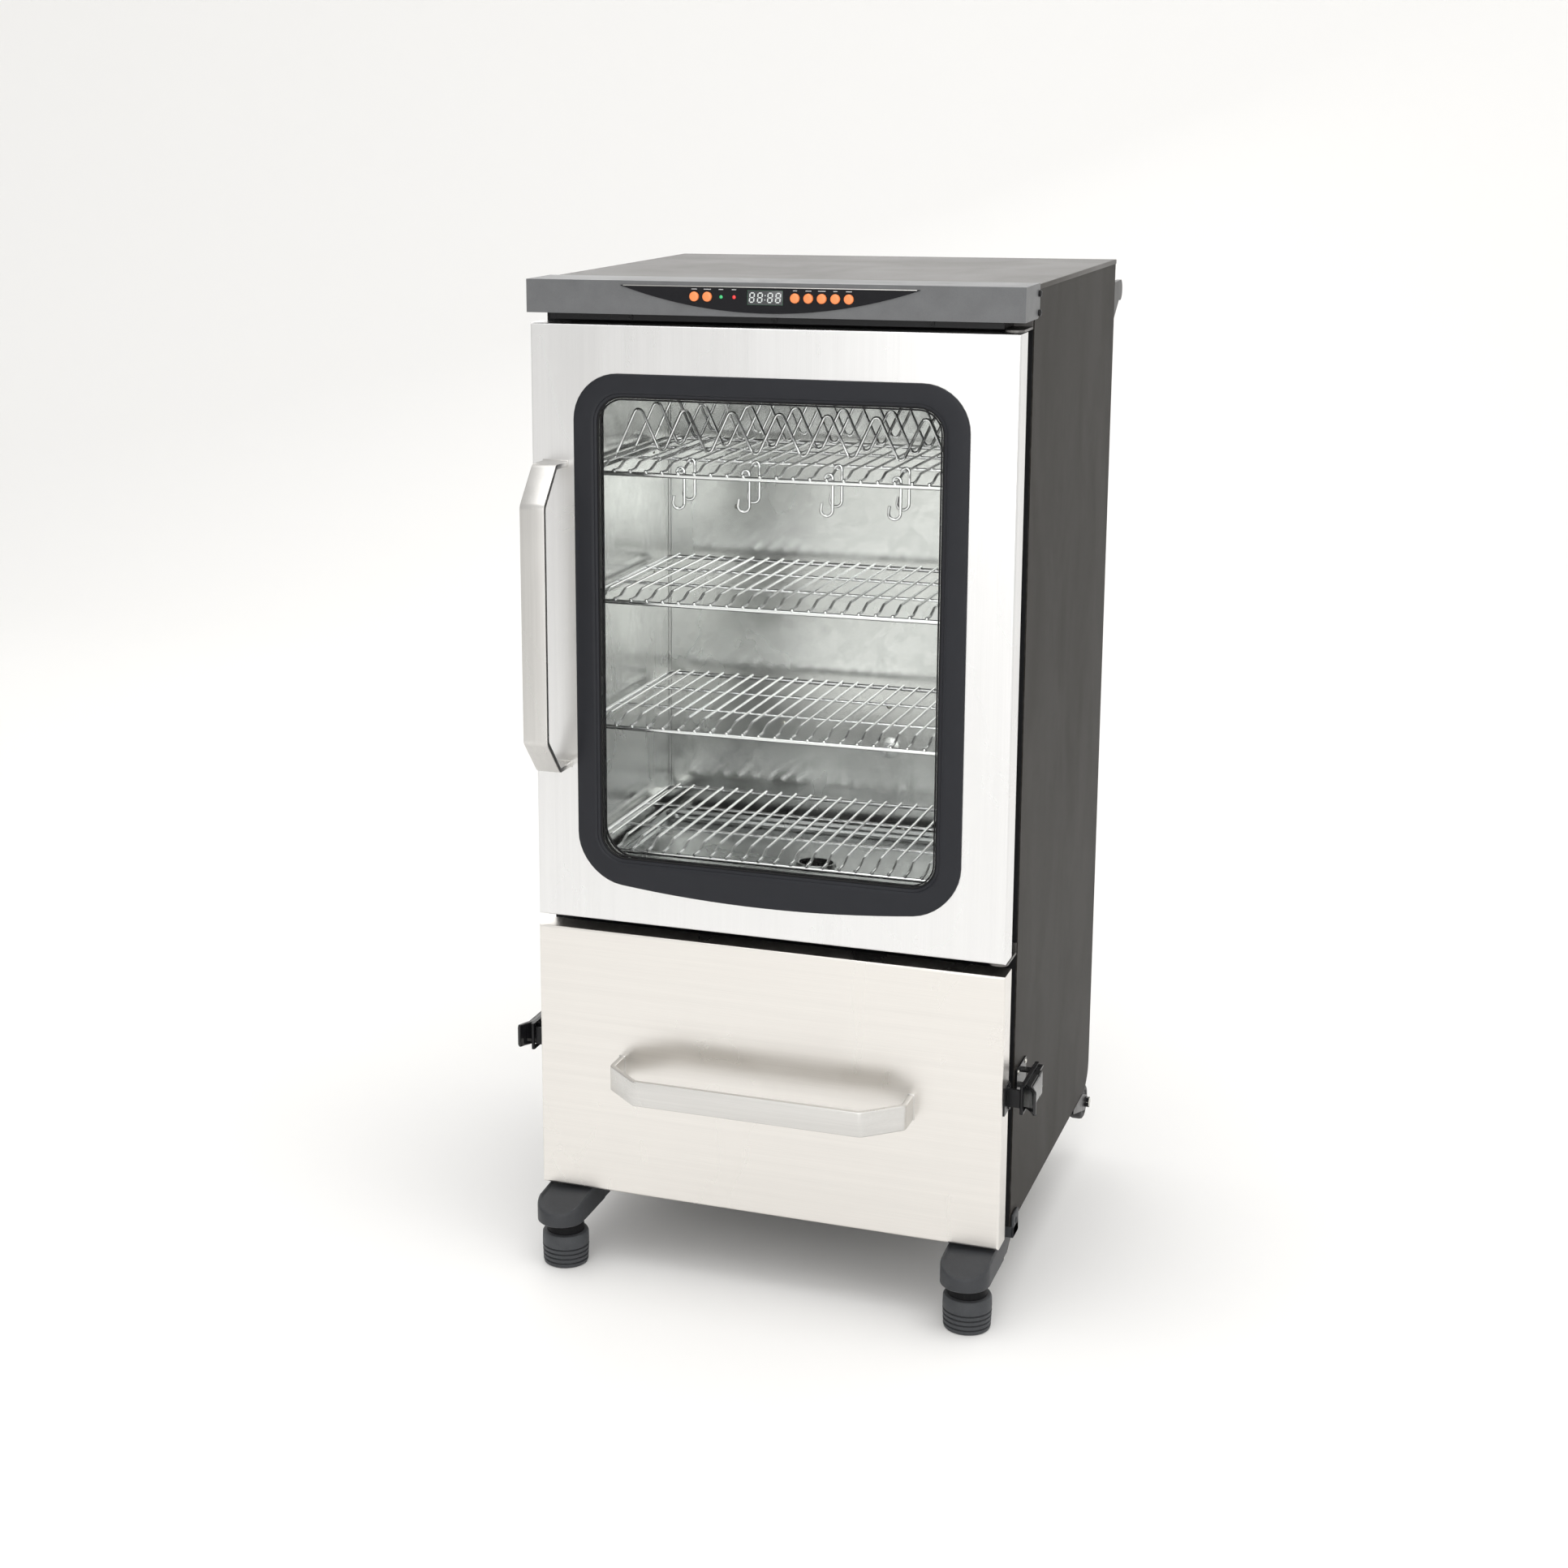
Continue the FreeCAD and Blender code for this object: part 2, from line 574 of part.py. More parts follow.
def temperature_probe():
    """Probe rod with a hexagon nut on the back wall."""
    nut = Part.makePolygon([V(PROBE_X + 7 * math.cos(a), ROOM_Y1, PROBE_Z + 7 * math.sin(a))
                            for a in [math.pi / 3 * i for i in range(7)]])
    body = Part.Face(nut).extrude(V(0, -6, 0))
    return fuse(body, rod((PROBE_X, ROOM_Y1 - 40, PROBE_Z), (PROBE_X, ROOM_Y1, PROBE_Z), 3))


def chamber_lamp():
    """Domed lamp lens on a round base, high on the back wall."""
    z = CAB_Z1 - VENT_DROP
    base = rod((-VENT_X, ROOM_Y1 - 6, z), (-VENT_X, ROOM_Y1, z), 28)
    dome = Part.makeSphere(24, V(-VENT_X, ROOM_Y1 - 6, z))
    front = box(-VENT_X - 30, -VENT_X + 30, ROOM_Y1 - 40, ROOM_Y1 - 6, z - 30, z + 30)
    return fuse(base, dome.common(front))


def build_chamber():
    """Racks, hooks, rails, tray, heater, probe and lamp."""
    lowest = rack(RACK_Z[0])
    for number, z in enumerate(RACK_Z, 1):
        add(f"rack_{number}", lowest.translated(V(0, 0, z - RACK_Z[0])))
    add("rib_rack", rib_rack())
    add("meat_hooks", meat_hooks())
    add("guide_rails", guide_rails())
    add("drip_tray", drip_tray())
    add("heating_element", heating_element())
    add("temperature_probe", temperature_probe())
    add("chamber_lamp", chamber_lamp())


# ---------------------------------------------------------------- control head
def smile_block(y0, y1, shrink=0.0):
    """Crescent with a straight top edge and an arc below."""
    top = HEAD_Z1 - SMILE_TOP - shrink
    half = SMILE_W / 2 - 6 * shrink
    left, right = V(-half, y0, top), V(half, y0, top)
    low = Part.Arc(left, V(0, y0, top - SMILE_SAG + 2 * shrink), right).toShape()
    return Part.Face(Part.Wire([low, Part.makeLine(right, left)])).extrude(V(0, y1 - y0, 0))


def button_places():
    """X of each button."""
    return list(BUTTONS_LEFT) + list(BUTTONS_RIGHT)


def head_openings(y0, y1):
    """Passages for buttons, lamps and display through the bezel and the head wall."""
    z = HEAD_Z1 - BUTTON_DROP
    cuts = [rod((x, y0, z), (x, y1, z), BUTTON_R + BUTTON_GAP) for x in button_places()]
    cuts += [rod((x, y0, z), (x, y1, z), LAMP_R + 0.1) for x in LAMPS]
    half_w, half_h = DISPLAY_W / 2 + 0.2, DISPLAY_H / 2 + 0.2
    cuts.append(box(DISPLAY_X - half_w, DISPLAY_X + half_w, y0, y1, z - half_h, z + half_h))
    return Part.makeCompound(cuts)


def control_housing():
    """Moulded hood over the cabinet's front top edge."""
    outside = CAB_X + HEAD_SIDE
    rear = CAB_Y0 + HEAD_LAP
    hood = box(-outside, outside, 0, rear, HEAD_Z0, HEAD_Z1)
    hood = rounded(hood, HEAD_CORNER_R, (1, 0, 0), lambda m: m.y > rear - 1 and m.z < HEAD_Z0 + 1)
    hollow = box(-CAB_X, CAB_X, HEAD_WALL, rear + 1, HEAD_Z0 - 1, CAB_Z1)
    lip = box(-CAB_X, CAB_X, HEAD_WALL, STRIP_SET_BACK, HEAD_Z0, HEAD_Z0 + 2)
    posts = [rod((x, HEAD_WALL, HEAD_Z0 + 6), (x, BOARD_Y, HEAD_Z0 + 6), 3) for x in (-94.0, 102.0)]
    hood = fuse(hood.cut(hollow), lip, *posts)
    hood = hood.cut(smile_block(-1, SMILE_T - SMILE_PROUD))
    return hood.cut(head_openings(-5, HEAD_WALL + 1))


def button(x):
    """Round key with a retaining flange and a stem to the switch."""
    z = HEAD_Z1 - BUTTON_DROP
    face = -SMILE_PROUD - BUTTON_PROUD
    cap = rod((x, face, z), (x, HEAD_WALL + 1, z), BUTTON_R)
    cap = cap.makeFillet(0.8, [e for e in cap.Edges if e.CenterOfMass.y < face + 0.1])
    flange = rod((x, HEAD_WALL + 0.4, z), (x, HEAD_WALL + 2, z), BUTTON_R + 1.2)
    stem = rod((x, HEAD_WALL + 1, z), (x, BOARD_Y - 2.5 - BUTTON_TRAVEL - 0.2, z), 2)
    return fuse(cap, flange, stem)


def control_board():
    """Circuit board with the display block and one switch behind each key."""
    z = HEAD_Z1 - BUTTON_DROP
    plate = box(-100, 108, BOARD_Y, BOARD_Y + BOARD_T, HEAD_Z0 + 2.5, CAB_Z1 - 2)
    half_w, half_h = DISPLAY_W / 2, DISPLAY_H / 2
    display = box(DISPLAY_X - half_w, DISPLAY_X + half_w, 0.4 - SMILE_PROUD, BOARD_Y,
                  z - half_h, z + half_h)
    switches = [box(x - 3, x + 3, BOARD_Y - 2.5, BOARD_Y, z - 3, z + 3) for x in button_places()]
    return fuse(plate, display, *switches)


def indicator_lamps():
    """Two round status lamps."""
    z = HEAD_Z1 - BUTTON_DROP
    return Part.makeCompound([rod((x, -SMILE_PROUD - 0.5, z), (x, BOARD_Y, z), LAMP_R) for x in LAMPS])


def head_strip():
    """Set-back strip that closes the head above the door."""
    x = CAB_X - HINGE_W - 1
    return box(-x, x, STRIP_SET_BACK, CAB_Y0, HEAD_Z0 - HEAD_GAP + 4, HEAD_Z0)


def screw(base, axis):
    """Round head that stands 1.2 mm off a face, with a short shank behind it."""
    head = Part.makeCylinder(3.2, 1.2, V(*base), V(*axis))
    cross = [box(-2.2, 2.2, -0.4, 0.4, 0.6, 2), box(-0.4, 0.4, -2.2, 2.2, 0.6, 2)]
    for blade in cross:
        blade.Placement = FreeCAD.Placement(V(*base), FreeCAD.Rotation(V(0, 0, 1), V(*axis)))
        head = head.cut(blade)
    return head


def head_screws():
    """Two screws in each side plate of the head and three in the strip."""
    x = CAB_X + HEAD_SIDE
    y = CAB_Y0 + HEAD_LAP - 5.5
    side = [screw((x, y, HEAD_Z1 - drop), (1, 0, 0)) for drop in (10.0, 29.3)]
    strip = [screw((px, STRIP_SET_BACK, HEAD_Z0 - 3.5), (0, -1, 0)) for px in (-153.0, 5.0, 170.0)]
    return Part.makeCompound(side + [mirrored(s) for s in side] + strip)


def build_head():
    """Hood, bezel, keys, board, lamps, strip and screws."""
    add("control_housing", control_housing())
    bezel = smile_block(-SMILE_PROUD, SMILE_T - SMILE_PROUD, 0.15)
    add("control_bezel", bezel.cut(head_openings(-5, 5)))
    for number, x in enumerate(button_places(), 1):
        add(f"button_{number}", button(x))
    add("control_board", control_board())
    add("indicator_lamps", indicator_lamps())
    add("head_strip", head_strip())
    add("head_screws", head_screws())


# ---------------------------------------------------------------- hinges
def hinge_bracket(face, way):
    """Plate, flange, washer and pin; face is the door edge and way points from it to the plate."""
    near = face + way * HINGE_SHIM
    far = near + way * HINGE_PLATE
    x0, x1 = PIVOT_X - HINGE_W / 2 - 1, PIVOT_X + HINGE_W / 2 - 1
    plate = box(x0, x1, HINGE_Y - 10, CAB_Y0, min(near, far), max(near, far))
    plate = rounded(plate, 8, (0, 0, 1), lambda m: m.y < HINGE_Y)
    edge = near - way * 0.001
    flange_end = far + way * 7 if way > 0 else near + 10
    flange = box(x0, x1, CAB_Y0 - 2.5, CAB_Y0, min(edge, flange_end), max(edge, flange_end))
    washer = rod((PIVOT_X, HINGE_Y, face + way * 0.3), (PIVOT_X, HINGE_Y, near), 7)
    pin = rod((PIVOT_X, HINGE_Y, face - way * PIN_IN), (PIVOT_X, HINGE_Y, far), PIN_R)
    return fuse(plate, flange, washer, pin)


def build_hinges():
    """Upper and lower hinge brackets."""
    add("hinge_brackets", Part.makeCompound([hinge_bracket(DOOR_Z1, 1), hinge_bracket(DOOR_Z0, -1)]))


# ---------------------------------------------------------------- door
def opening(grow, y0, y1):
    """Window passage, a margin larger than the clear opening."""
    return window_block(CLEAR_X + grow, CLEAR_Z0 - grow, CLEAR_Z1 + grow, RIM_R + min(grow, 0), y0, y1)


def folded_skin(half, z0, z1):
    """Front sheet with four folded edges, open at the back."""
    outer = box(-half, half, 0, FRONT_T, z0, z1)
    front_edges = [e for e in outer.Edges if abs(e.CenterOfMass.y) < 0.01]
    outer = outer.makeFillet(FOLD_R, front_edges)
    inner = box(-half + SKIN, half - SKIN, SKIN, FRONT_T + 1, z0 + SKIN, z1 - SKIN)
    return outer.cut(inner)


def inner_pan(half, z0, z1):
    """Back plate with a hollow raised pan behind a folded skin."""
    flange = box(-half + SKIN, half - SKIN, FRONT_T - LINER, FRONT_T, z0 + SKIN, z1 - SKIN)
    x, low, high = half - PAN_INSET, z0 + PAN_EDGE, z1 - PAN_EDGE
    pan = box(-x, x, FRONT_T - LINER, PAN_BACK, low, high)
    hollow = box(-x + LINER, x - LINER, FRONT_T - 5, PAN_BACK - LINER, low + LINER, high - LINER)
    return fuse(flange, pan).cut(hollow)


def seal(half, z0, z1):
    """Gasket ring between an inner pan and the frame."""
    x = half - PAN_INSET - SEAL_INSET
    low, high = z0 + PAN_EDGE + SEAL_INSET, z1 - PAN_EDGE - SEAL_INSET
    return ring(x, x - SEAL_W, low, high, SEAL_W, PAN_BACK, CAB_Y0 - SEAL_GAP, 6)


def door_skin():
    """Door front sheet with the window passage and the pin holes."""
    skin = folded_skin(DOOR_X, DOOR_Z0, DOOR_Z1).cut(opening(8, -1, 5))
    bore = rod((PIVOT_X, HINGE_Y, DOOR_Z0 - 1), (PIVOT_X, HINGE_Y, DOOR_Z1 + 1), PIN_R + 0.5)
    return skin.cut(bore)


def door_inner():
    """Inner pan with the window tunnel and the two hinge bushes."""
    pan = inner_pan(DOOR_X, DOOR_Z0, DOOR_Z1)
    tunnel = opening(TUNNEL_OUTSET + LINER, TUNNEL_FRONT, PAN_BACK)
    bushes = []
    for low, high in ((DOOR_Z0 + SKIN, DOOR_Z0 + SKIN + 18), (DOOR_Z1 - SKIN - 18, DOOR_Z1 - SKIN)):
        bushes.append(box(PIVOT_X - 8, PIVOT_X + 6, HINGE_Y - 8, FRONT_T, low, high))
    whole = fuse(pan, tunnel, *bushes)
    whole = whole.cut(opening(TUNNEL_OUTSET, 0, PAN_BACK - LINER))
    whole = whole.cut(opening(TUNNEL_OUTSET - TUNNEL_LIP, 0, PAN_BACK + 1))
    bore = rod((PIVOT_X, HINGE_Y, DOOR_Z0 - 1), (PIVOT_X, HINGE_Y, DOOR_Z1 + 1), PIN_R + PIN_FIT)
    return whole.cut(bore)


def window_bezel():
    """Raised frame with a bowed lower edge and a flange behind it."""
    face = bowed_block(BEZEL_X, BEZEL_Z0, BEZEL_Z1, BEZEL_SAG, BEZEL_R, -BEZEL_PROUD, 0)
    rim = [e for e in face.Edges if abs(e.CenterOfMass.y + BEZEL_PROUD) < 0.01]
    face = face.makeFillet(1.5, rim)
    flange = opening(7.5, -0.5, SKIN)
    return fuse(face, flange).cut(opening(0, -BEZEL_PROUD - 1, 5))


def window_glass():
    """Outer pane behind the skin and inner pane on the tunnel lip."""
    outer = opening(GLASS_MARGIN, SKIN + GLASS_GAP, SKIN + GLASS_GAP + GLASS_T)
    inner = opening(TUNNEL_OUTSET - GLASS_GAP, PAN_BACK - LINER - GLASS_T, PAN_BACK - LINER)
    return Part.makeCompound([outer, inner])


def door_handle():
    """Upright strap handle near the free edge of the door."""
    strap = strap_handle(DOOR_HANDLE_L)
    strap.rotate(V(0, 0, 0), V(0, 1, 0), 90)
    strap.translate(V(-DOOR_X + DOOR_HANDLE_EDGE + STRAP_W / 2, 0, DRAWER_Z0 + DOOR_HANDLE_Z))
    return strap


def build_door():
    """Door leaf that turns on the right-hand pins."""
    add("door_skin", door_skin())
    add("door_inner", door_inner())
    add("window_bezel", window_bezel())
    add("window_glass", window_glass())
    add("door_gasket", seal(DOOR_X, DOOR_Z0, DOOR_Z1))
    add("door_handle", door_handle())


# ---------------------------------------------------------------- drawer
def drawer_carriage():
    """Inner pan with the two side rails, their runners and a rear cross bar."""
    pan = inner_pan(DRAWER_X, DRAWER_Z0, DRAWER_Z1)
    low, high = RAIL_Z - RAIL_H / 2, RAIL_Z + RAIL_H / 2
    rail = box(RAIL_X - RAIL_T, RAIL_X, PAN_BACK - LINER, RAIL_Y1, low, high)
    shelf = box(RAIL_X - TRAY_LIP, RAIL_X, PAN_BACK - LINER, RAIL_Y1, low, low + RAIL_T)
    half = RUNNER_H / 2
    runner = box(RAIL_X - 0.5, RAIL_X + 8, PAN_BACK + 8, RAIL_Y1, RAIL_Z - half, RAIL_Z + half)
    side = fuse(rail, shelf, runner)
    bar = box(-RAIL_X, RAIL_X, RAIL_Y1 - RAIL_T, RAIL_Y1, low, high)
    middle = box(-RAIL_X, RAIL_X, TRAY_SPLIT, TRAY_SPLIT + RAIL_T, low, low + 14)
    return fuse(pan, side, mirrored(side), bar, middle)


def pan_shape(y0, y1, depth, wall):
    """Open pan that hangs by its rim on the rail shelves."""
    rim_x = RAIL_X - RAIL_T - TRAY_GAP
    body_x = RAIL_X - TRAY_LIP - TRAY_GAP
    top = RAIL_Z - RAIL_H / 2 + RAIL_T
    rim = box(-rim_x, rim_x, y0, y1, top, top + wall)
    body = rounded(box(-body_x, body_x, y0, y1, top - depth, top + wall), 12, (0, 0, 1))
    hollow = box(-body_x + wall, body_x - wall, y0 + wall, y1 - wall, top - depth + wall, top + 5)
    hollow = rounded(hollow, 11, (0, 0, 1))
    return fuse(rim, body).cut(hollow)


def chip_tray():
    """Wood chip box with a perforated lid."""
    y0, y1 = TRAY_SPLIT + RAIL_T + TRAY_GAP, RAIL_Y1 - RAIL_T - TRAY_GAP
    base = pan_shape(y0, y1, 4.0, 1.5)
    lid_z = RAIL_Z - RAIL_H / 2 + 2 * RAIL_T
    x = RAIL_X - TRAY_LIP - TRAY_GAP
    lid = box(-x + 6, x - 6, y0 + 6, y1 - 6, lid_z, lid_z + 12)
    lid = lid.cut(box(-x + 8, x - 8, y0 + 8, y1 - 8, lid_z - 1, lid_z + 10))
    slots = []
    for i in range(7):
        sx = -x + 36 + i * (2 * x - 72) / 6
        slots.append(box(sx - 4, sx + 4, y0 + 24, y1 - 24, lid_z + 5, lid_z + 15))
    lid = lid.cut(Part.makeCompound(slots))
    skirt = box(-x + 1.5, x - 1.5, y0 + 1.5, y1 - 1.5, lid_z - 2, lid_z)
    skirt = skirt.cut(box(-x + 8, x - 8, y0 + 8, y1 - 8, lid_z - 5, lid_z + 5))
    return Part.makeCompound([fuse(base, skirt, lid)])


def drawer_handle():
    """Level strap handle in the middle of the drawer."""
    strap = strap_handle(DRAWER_HANDLE_L)
    strap.translate(V(0, 0, DRAWER_Z0 + DRAWER_HANDLE_Z))
    return strap


def keeper():
    """Right-hand latch keeper: base plate, hooked lip and two rivets."""
    z = DRAWER_Z0 + LATCH_Z
    bar_x = CAB_X + LATCH_PIVOT_X
    lip_x = bar_x - BAIL_R - BAIL_GAP
    base = box(DRAWER_X, DRAWER_X + 1.5, 6, FRONT_T - 1, z - 16, z + 16)
    web = box(DRAWER_X, lip_x, 20, 23, z - 10, z + 10)
    rivets = [rod((DRAWER_X, 25.8, z + dz), (DRAWER_X + 3, 25.8, z + dz), 2.5) for dz in (-12.5, 12.5)]
    return fuse(base, web, *rivets)


def build_drawer():
    """Drawer front with its carriage, pans and keepers."""
    add("drawer_front", folded_skin(DRAWER_X, DRAWER_Z0, DRAWER_Z1))
    add("drawer_carriage", drawer_carriage())
    add("drawer_gasket", seal(DRAWER_X, DRAWER_Z0, DRAWER_Z1))
    add("drawer_handle", drawer_handle())
    add("water_pan", pan_shape(PAN_BACK + TRAY_GAP + 12, TRAY_SPLIT - TRAY_GAP, 22.0, 1.0))
    add("chip_tray", chip_tray())
    add("latch_keepers", both(keeper()))


# ---------------------------------------------------------------- latches
def latch_base():
    """Base plate on the cabinet side with two ears and the pivot pin."""
    z = DRAWER_Z0 + LATCH_Z
    plate = box(CAB_X, CAB_X + LATCH_T, CAB_Y0 + 6, PIVOT_BACK + 20, z - 17, z + 17)
    ears = []
    for side in (-1, 1):
        low = z + side * LATCH_EAR - LATCH_T / 2
        ear = box(CAB_X, PIVOT_OUT, PIVOT_BACK - 6, PIVOT_BACK + 6, low, low + LATCH_T)
        ears.append(ear.fuse(rod((PIVOT_OUT, PIVOT_BACK, low), (PIVOT_OUT, PIVOT_BACK, low + LATCH_T), 6)))
    reach = LATCH_EAR + 4.0
    pin = rod((PIVOT_OUT, PIVOT_BACK, z - reach), (PIVOT_OUT, PIVOT_BACK, z + reach), 2.2)
    return fuse(plate, pin, *ears)


def latch_lever():
    """Lever: channel round the pivot, cover plate and a flared finger tip."""
    z = DRAWER_Z0 + LATCH_Z
    tip_y = PIVOT_BACK - LATCH_REACH
    cover_x = PIVOT_OUT + 6.5
    outline = [(cover_x, PIVOT_BACK - 7), (cover_x, tip_y + 16), (cover_x + 7, tip_y)]
    closed = outline + offset_line(outline, 3)[::-1]
    cover = prism([(x, y, z - 13) for x, y in closed], (0, 0, 1), 26)
    walls = []
    for side in (-1, 1):
        low = z + side * (LATCH_EAR + 2.5) - LATCH_T / 2
        top = low + LATCH_T
        cheek = box(PIVOT_OUT - 4, cover_x, PIVOT_BACK - 20, PIVOT_BACK + 12, low, top)
        walls.append(rounded(cheek, 3.5, (0, 0, 1), lambda m: m.x < PIVOT_OUT))
    whole = fuse(cover, *walls)
    reach = LATCH_EAR + 9
    for y, radius in ((PIVOT_BACK, 2.25), (PIVOT_BACK + LATCH_ARM, 1.55)):
        whole = whole.cut(rod((PIVOT_OUT, y, z - reach), (PIVOT_OUT, y, z + reach), radius))
    return whole


def latch_bail():
    """Bail: two arms from stub pins in the lever's cheeks to a cross bar in front of the keeper lip."""
    z = DRAWER_Z0 + LATCH_Z
    pin_y = PIVOT_BACK + LATCH_ARM
    bar_y = 20 - BAIL_R - BAIL_GAP
    arm_z = LATCH_EAR + 6.5
    pieces = [rod((PIVOT_OUT, bar_y, z - arm_z), (PIVOT_OUT, bar_y, z + arm_z), BAIL_R)]
    for side in (-1, 1):
        low = z + side * (arm_z - 1) - 1
        pieces.append(box(PIVOT_OUT - BAIL_R, PIVOT_OUT + BAIL_R, bar_y, pin_y, low, low + 2))
        pieces.append(rod((PIVOT_OUT, pin_y, low), (PIVOT_OUT, pin_y, low + 2), 2.4))
        inner = z + side * (LATCH_EAR + 1.6)
        pieces.append(rod((PIVOT_OUT, pin_y, inner), (PIVOT_OUT, pin_y, z + side * arm_z), 1.5))
    return fuse(*pieces)


def build_latches():
    """Draw latches on both sides."""
    add("latch_bases", both(latch_base()))
    for name, shape in (("latch_lever", latch_lever()), ("latch_bail", latch_bail())):
        add(f"{name}_right", shape)
        add(f"{name}_left", mirrored(shape))


# ---------------------------------------------------------------- legs and wheels
def front_leg():
    """Splayed leg: round nose, sloping top, socket for the pad and a side tab."""
    half = LEG_W / 2
    nose = -LEG_TIP
    tail = CAB_Y0 + LEG_TAIL
    under = DRAWER_Z0 - LEG_GAP
    profile = [(nose, LEG_LOW), (nose, LEG_LOW + LEG_LIP), (nose + 38, under), (CAB_Y0 - 1, under),
               (CAB_Y0 - 1, CAB_Z0), (tail, CAB_Z0), (tail, CAB_Z0 - 12), (CAB_Y0 + 14, LEG_LOW)]
    side = prism([(LEG_X - half, y, z) for y, z in profile], (1, 0, 0), LEG_W)
    plan = box(LEG_X - half, LEG_X + half, nose + half, tail, LEG_LOW, CAB_Z0)
    plan = plan.fuse(rod((LEG_X, nose + half, LEG_LOW), (LEG_X, nose + half, CAB_Z0), half))
    leg = side.common(plan.removeSplitter())
    tab = box(LEG_X + half - 4, CAB_X + 3, CAB_Y0 + 2, CAB_Y0 + 26, CAB_Z0 - 14, CAB_Z0)
    ear = box(CAB_X, CAB_X + 3, CAB_Y0 + 2, CAB_Y0 + 26, CAB_Z0 - 14, CAB_Z0 + 12)
    ear = rounded(ear, 6, (1, 0, 0), lambda m: m.z > CAB_Z0)
    bore = rod((LEG_X, -PAD_FRONT, LEG_LOW - 1), (LEG_X, -PAD_FRONT, LEG_LOW + STUD_IN + 1), STUD_R + 0.1)
    return fuse(leg, tab, ear).cut(bore)


def rear_leg():
    """Plain round rear leg."""
    y = CAB_Y1 - REAR_FOOT_Y
    post = Part.makeCone(REAR_FOOT_R, REAR_FOOT_R + 5, CAB_Z0 - 10, V(REAR_FOOT_X, y, 10))
    return fuse(post, rod((REAR_FOOT_X, y, 0), (REAR_FOOT_X, y, 10), REAR_FOOT_R + 2))


def leveling_pad():
    """Ribbed screw foot: pad with grooves, collar and stud."""
    x, y = LEG_X, -PAD_FRONT
    pad = rod((x, y, 0), (x, y, PAD_H), PAD_R)
    rim = [e for e in pad.Edges if e.Curve.TypeId == "Part::GeomCircle"]
    pad = pad.makeFillet(1.5, rim)
    for level in (6.0, 12.0, 18.0):
        ring_cut = rod((x, y, level), (x, y, level + 1.2), PAD_R + 1)
        pad = pad.cut(ring_cut.cut(rod((x, y, level), (x, y, level + 1.2), PAD_R - 1)))
    collar = rod((x, y, PAD_H - 1), (x, y, LEG_LOW - 0.5), PAD_COLLAR_R)
    stud = rod((x, y, PAD_H), (x, y, LEG_LOW + STUD_IN), STUD_R)
    return fuse(pad, collar, stud)


def wheel_bracket():
    """Fork under the rear corner with its axle bolt."""
    plates = []
    front = WHEEL_Y - WHEEL_R - 60
    for x in (WHEEL_X0 - 2.5, WHEEL_X1 + 0.5):
        outline = [(x, front, CAB_Z0), (x, WHEEL_Y - WHEEL_R - 4, CAB_Z0), (x, WHEEL_Y + 6, WHEEL_Z + 7),
                   (x, WHEEL_Y + 6, WHEEL_Z - 7), (x, WHEEL_Y - 5, WHEEL_Z - 9), (x, front, CAB_Z0 - 5)]
        plates.append(prism(outline, (1, 0, 0), 2))
    roof = box(WHEEL_X0 - 2.5, WHEEL_X1 + 2.5, front, WHEEL_Y - WHEEL_R - 4, CAB_Z0 - 2, CAB_Z0)
    axle = rod((WHEEL_X0 - 5, WHEEL_Y, WHEEL_Z), (WHEEL_X1 + 2.5, WHEEL_Y, WHEEL_Z), AXLE_R)
    head = rod((WHEEL_X1 + 2.5, WHEEL_Y, WHEEL_Z), (WHEEL_X1 + 6.5, WHEEL_Y, WHEEL_Z), 6.5)
    return fuse(roof, axle, head, *plates)


def wheel():
    """Small solid roller with rounded tread edges."""
    tyre = rod((WHEEL_X0, WHEEL_Y, WHEEL_Z), (WHEEL_X1, WHEEL_Y, WHEEL_Z), WHEEL_R)
    tyre = tyre.makeFillet(3, [e for e in tyre.Edges if e.Curve.TypeId == "Part::GeomCircle"])
    bore = rod((WHEEL_X0 - 1, WHEEL_Y, WHEEL_Z), (WHEEL_X1 + 1, WHEEL_Y, WHEEL_Z), AXLE_R + PIN_FIT)
    return tyre.cut(bore)


def build_support():
    """Legs, levelling pads, wheel forks and wheels."""
    legs = [front_leg(), rear_leg()]
    add("legs", Part.makeCompound(legs + [mirrored(leg) for leg in legs]))
    add("leveling_pad_right", leveling_pad())
    add("leveling_pad_left", mirrored(leveling_pad()))
    add("wheel_brackets", both(wheel_bracket()))
    add("wheel_right", wheel())
    add("wheel_left", mirrored(wheel()))


# ---------------------------------------------------------------- back fittings
def rear_handle():
    """Round grip across the back between two end arms."""
    z = CAB_Z1 - GRIP_DROP
    y = CAB_Y1 + GRIP_OUT
    nose = GRIP_R + 4
    arm_x = CAB_X - GRIP_ARM_T - 1
    outline = [(CAB_Y1, z + nose - 1), (y, z + nose), (y, z - 6), (CAB_Y1, z - 34)]
    arm = prism([(arm_x, u, v) for u, v in outline], (1, 0, 0), GRIP_ARM_T)
    arm = arm.fuse(rod((arm_x, y, z), (arm_x + GRIP_ARM_T, y, z), nose))
    foot = box(arm_x - 18, arm_x + GRIP_ARM_T, CAB_Y1, CAB_Y1 + 3, z - 34, z + nose - 1)
    grip = rod((-arm_x, y, z), (arm_x, y, z), GRIP_R)
    side = fuse(arm, foot)
    return fuse(side, mirrored(side), grip)


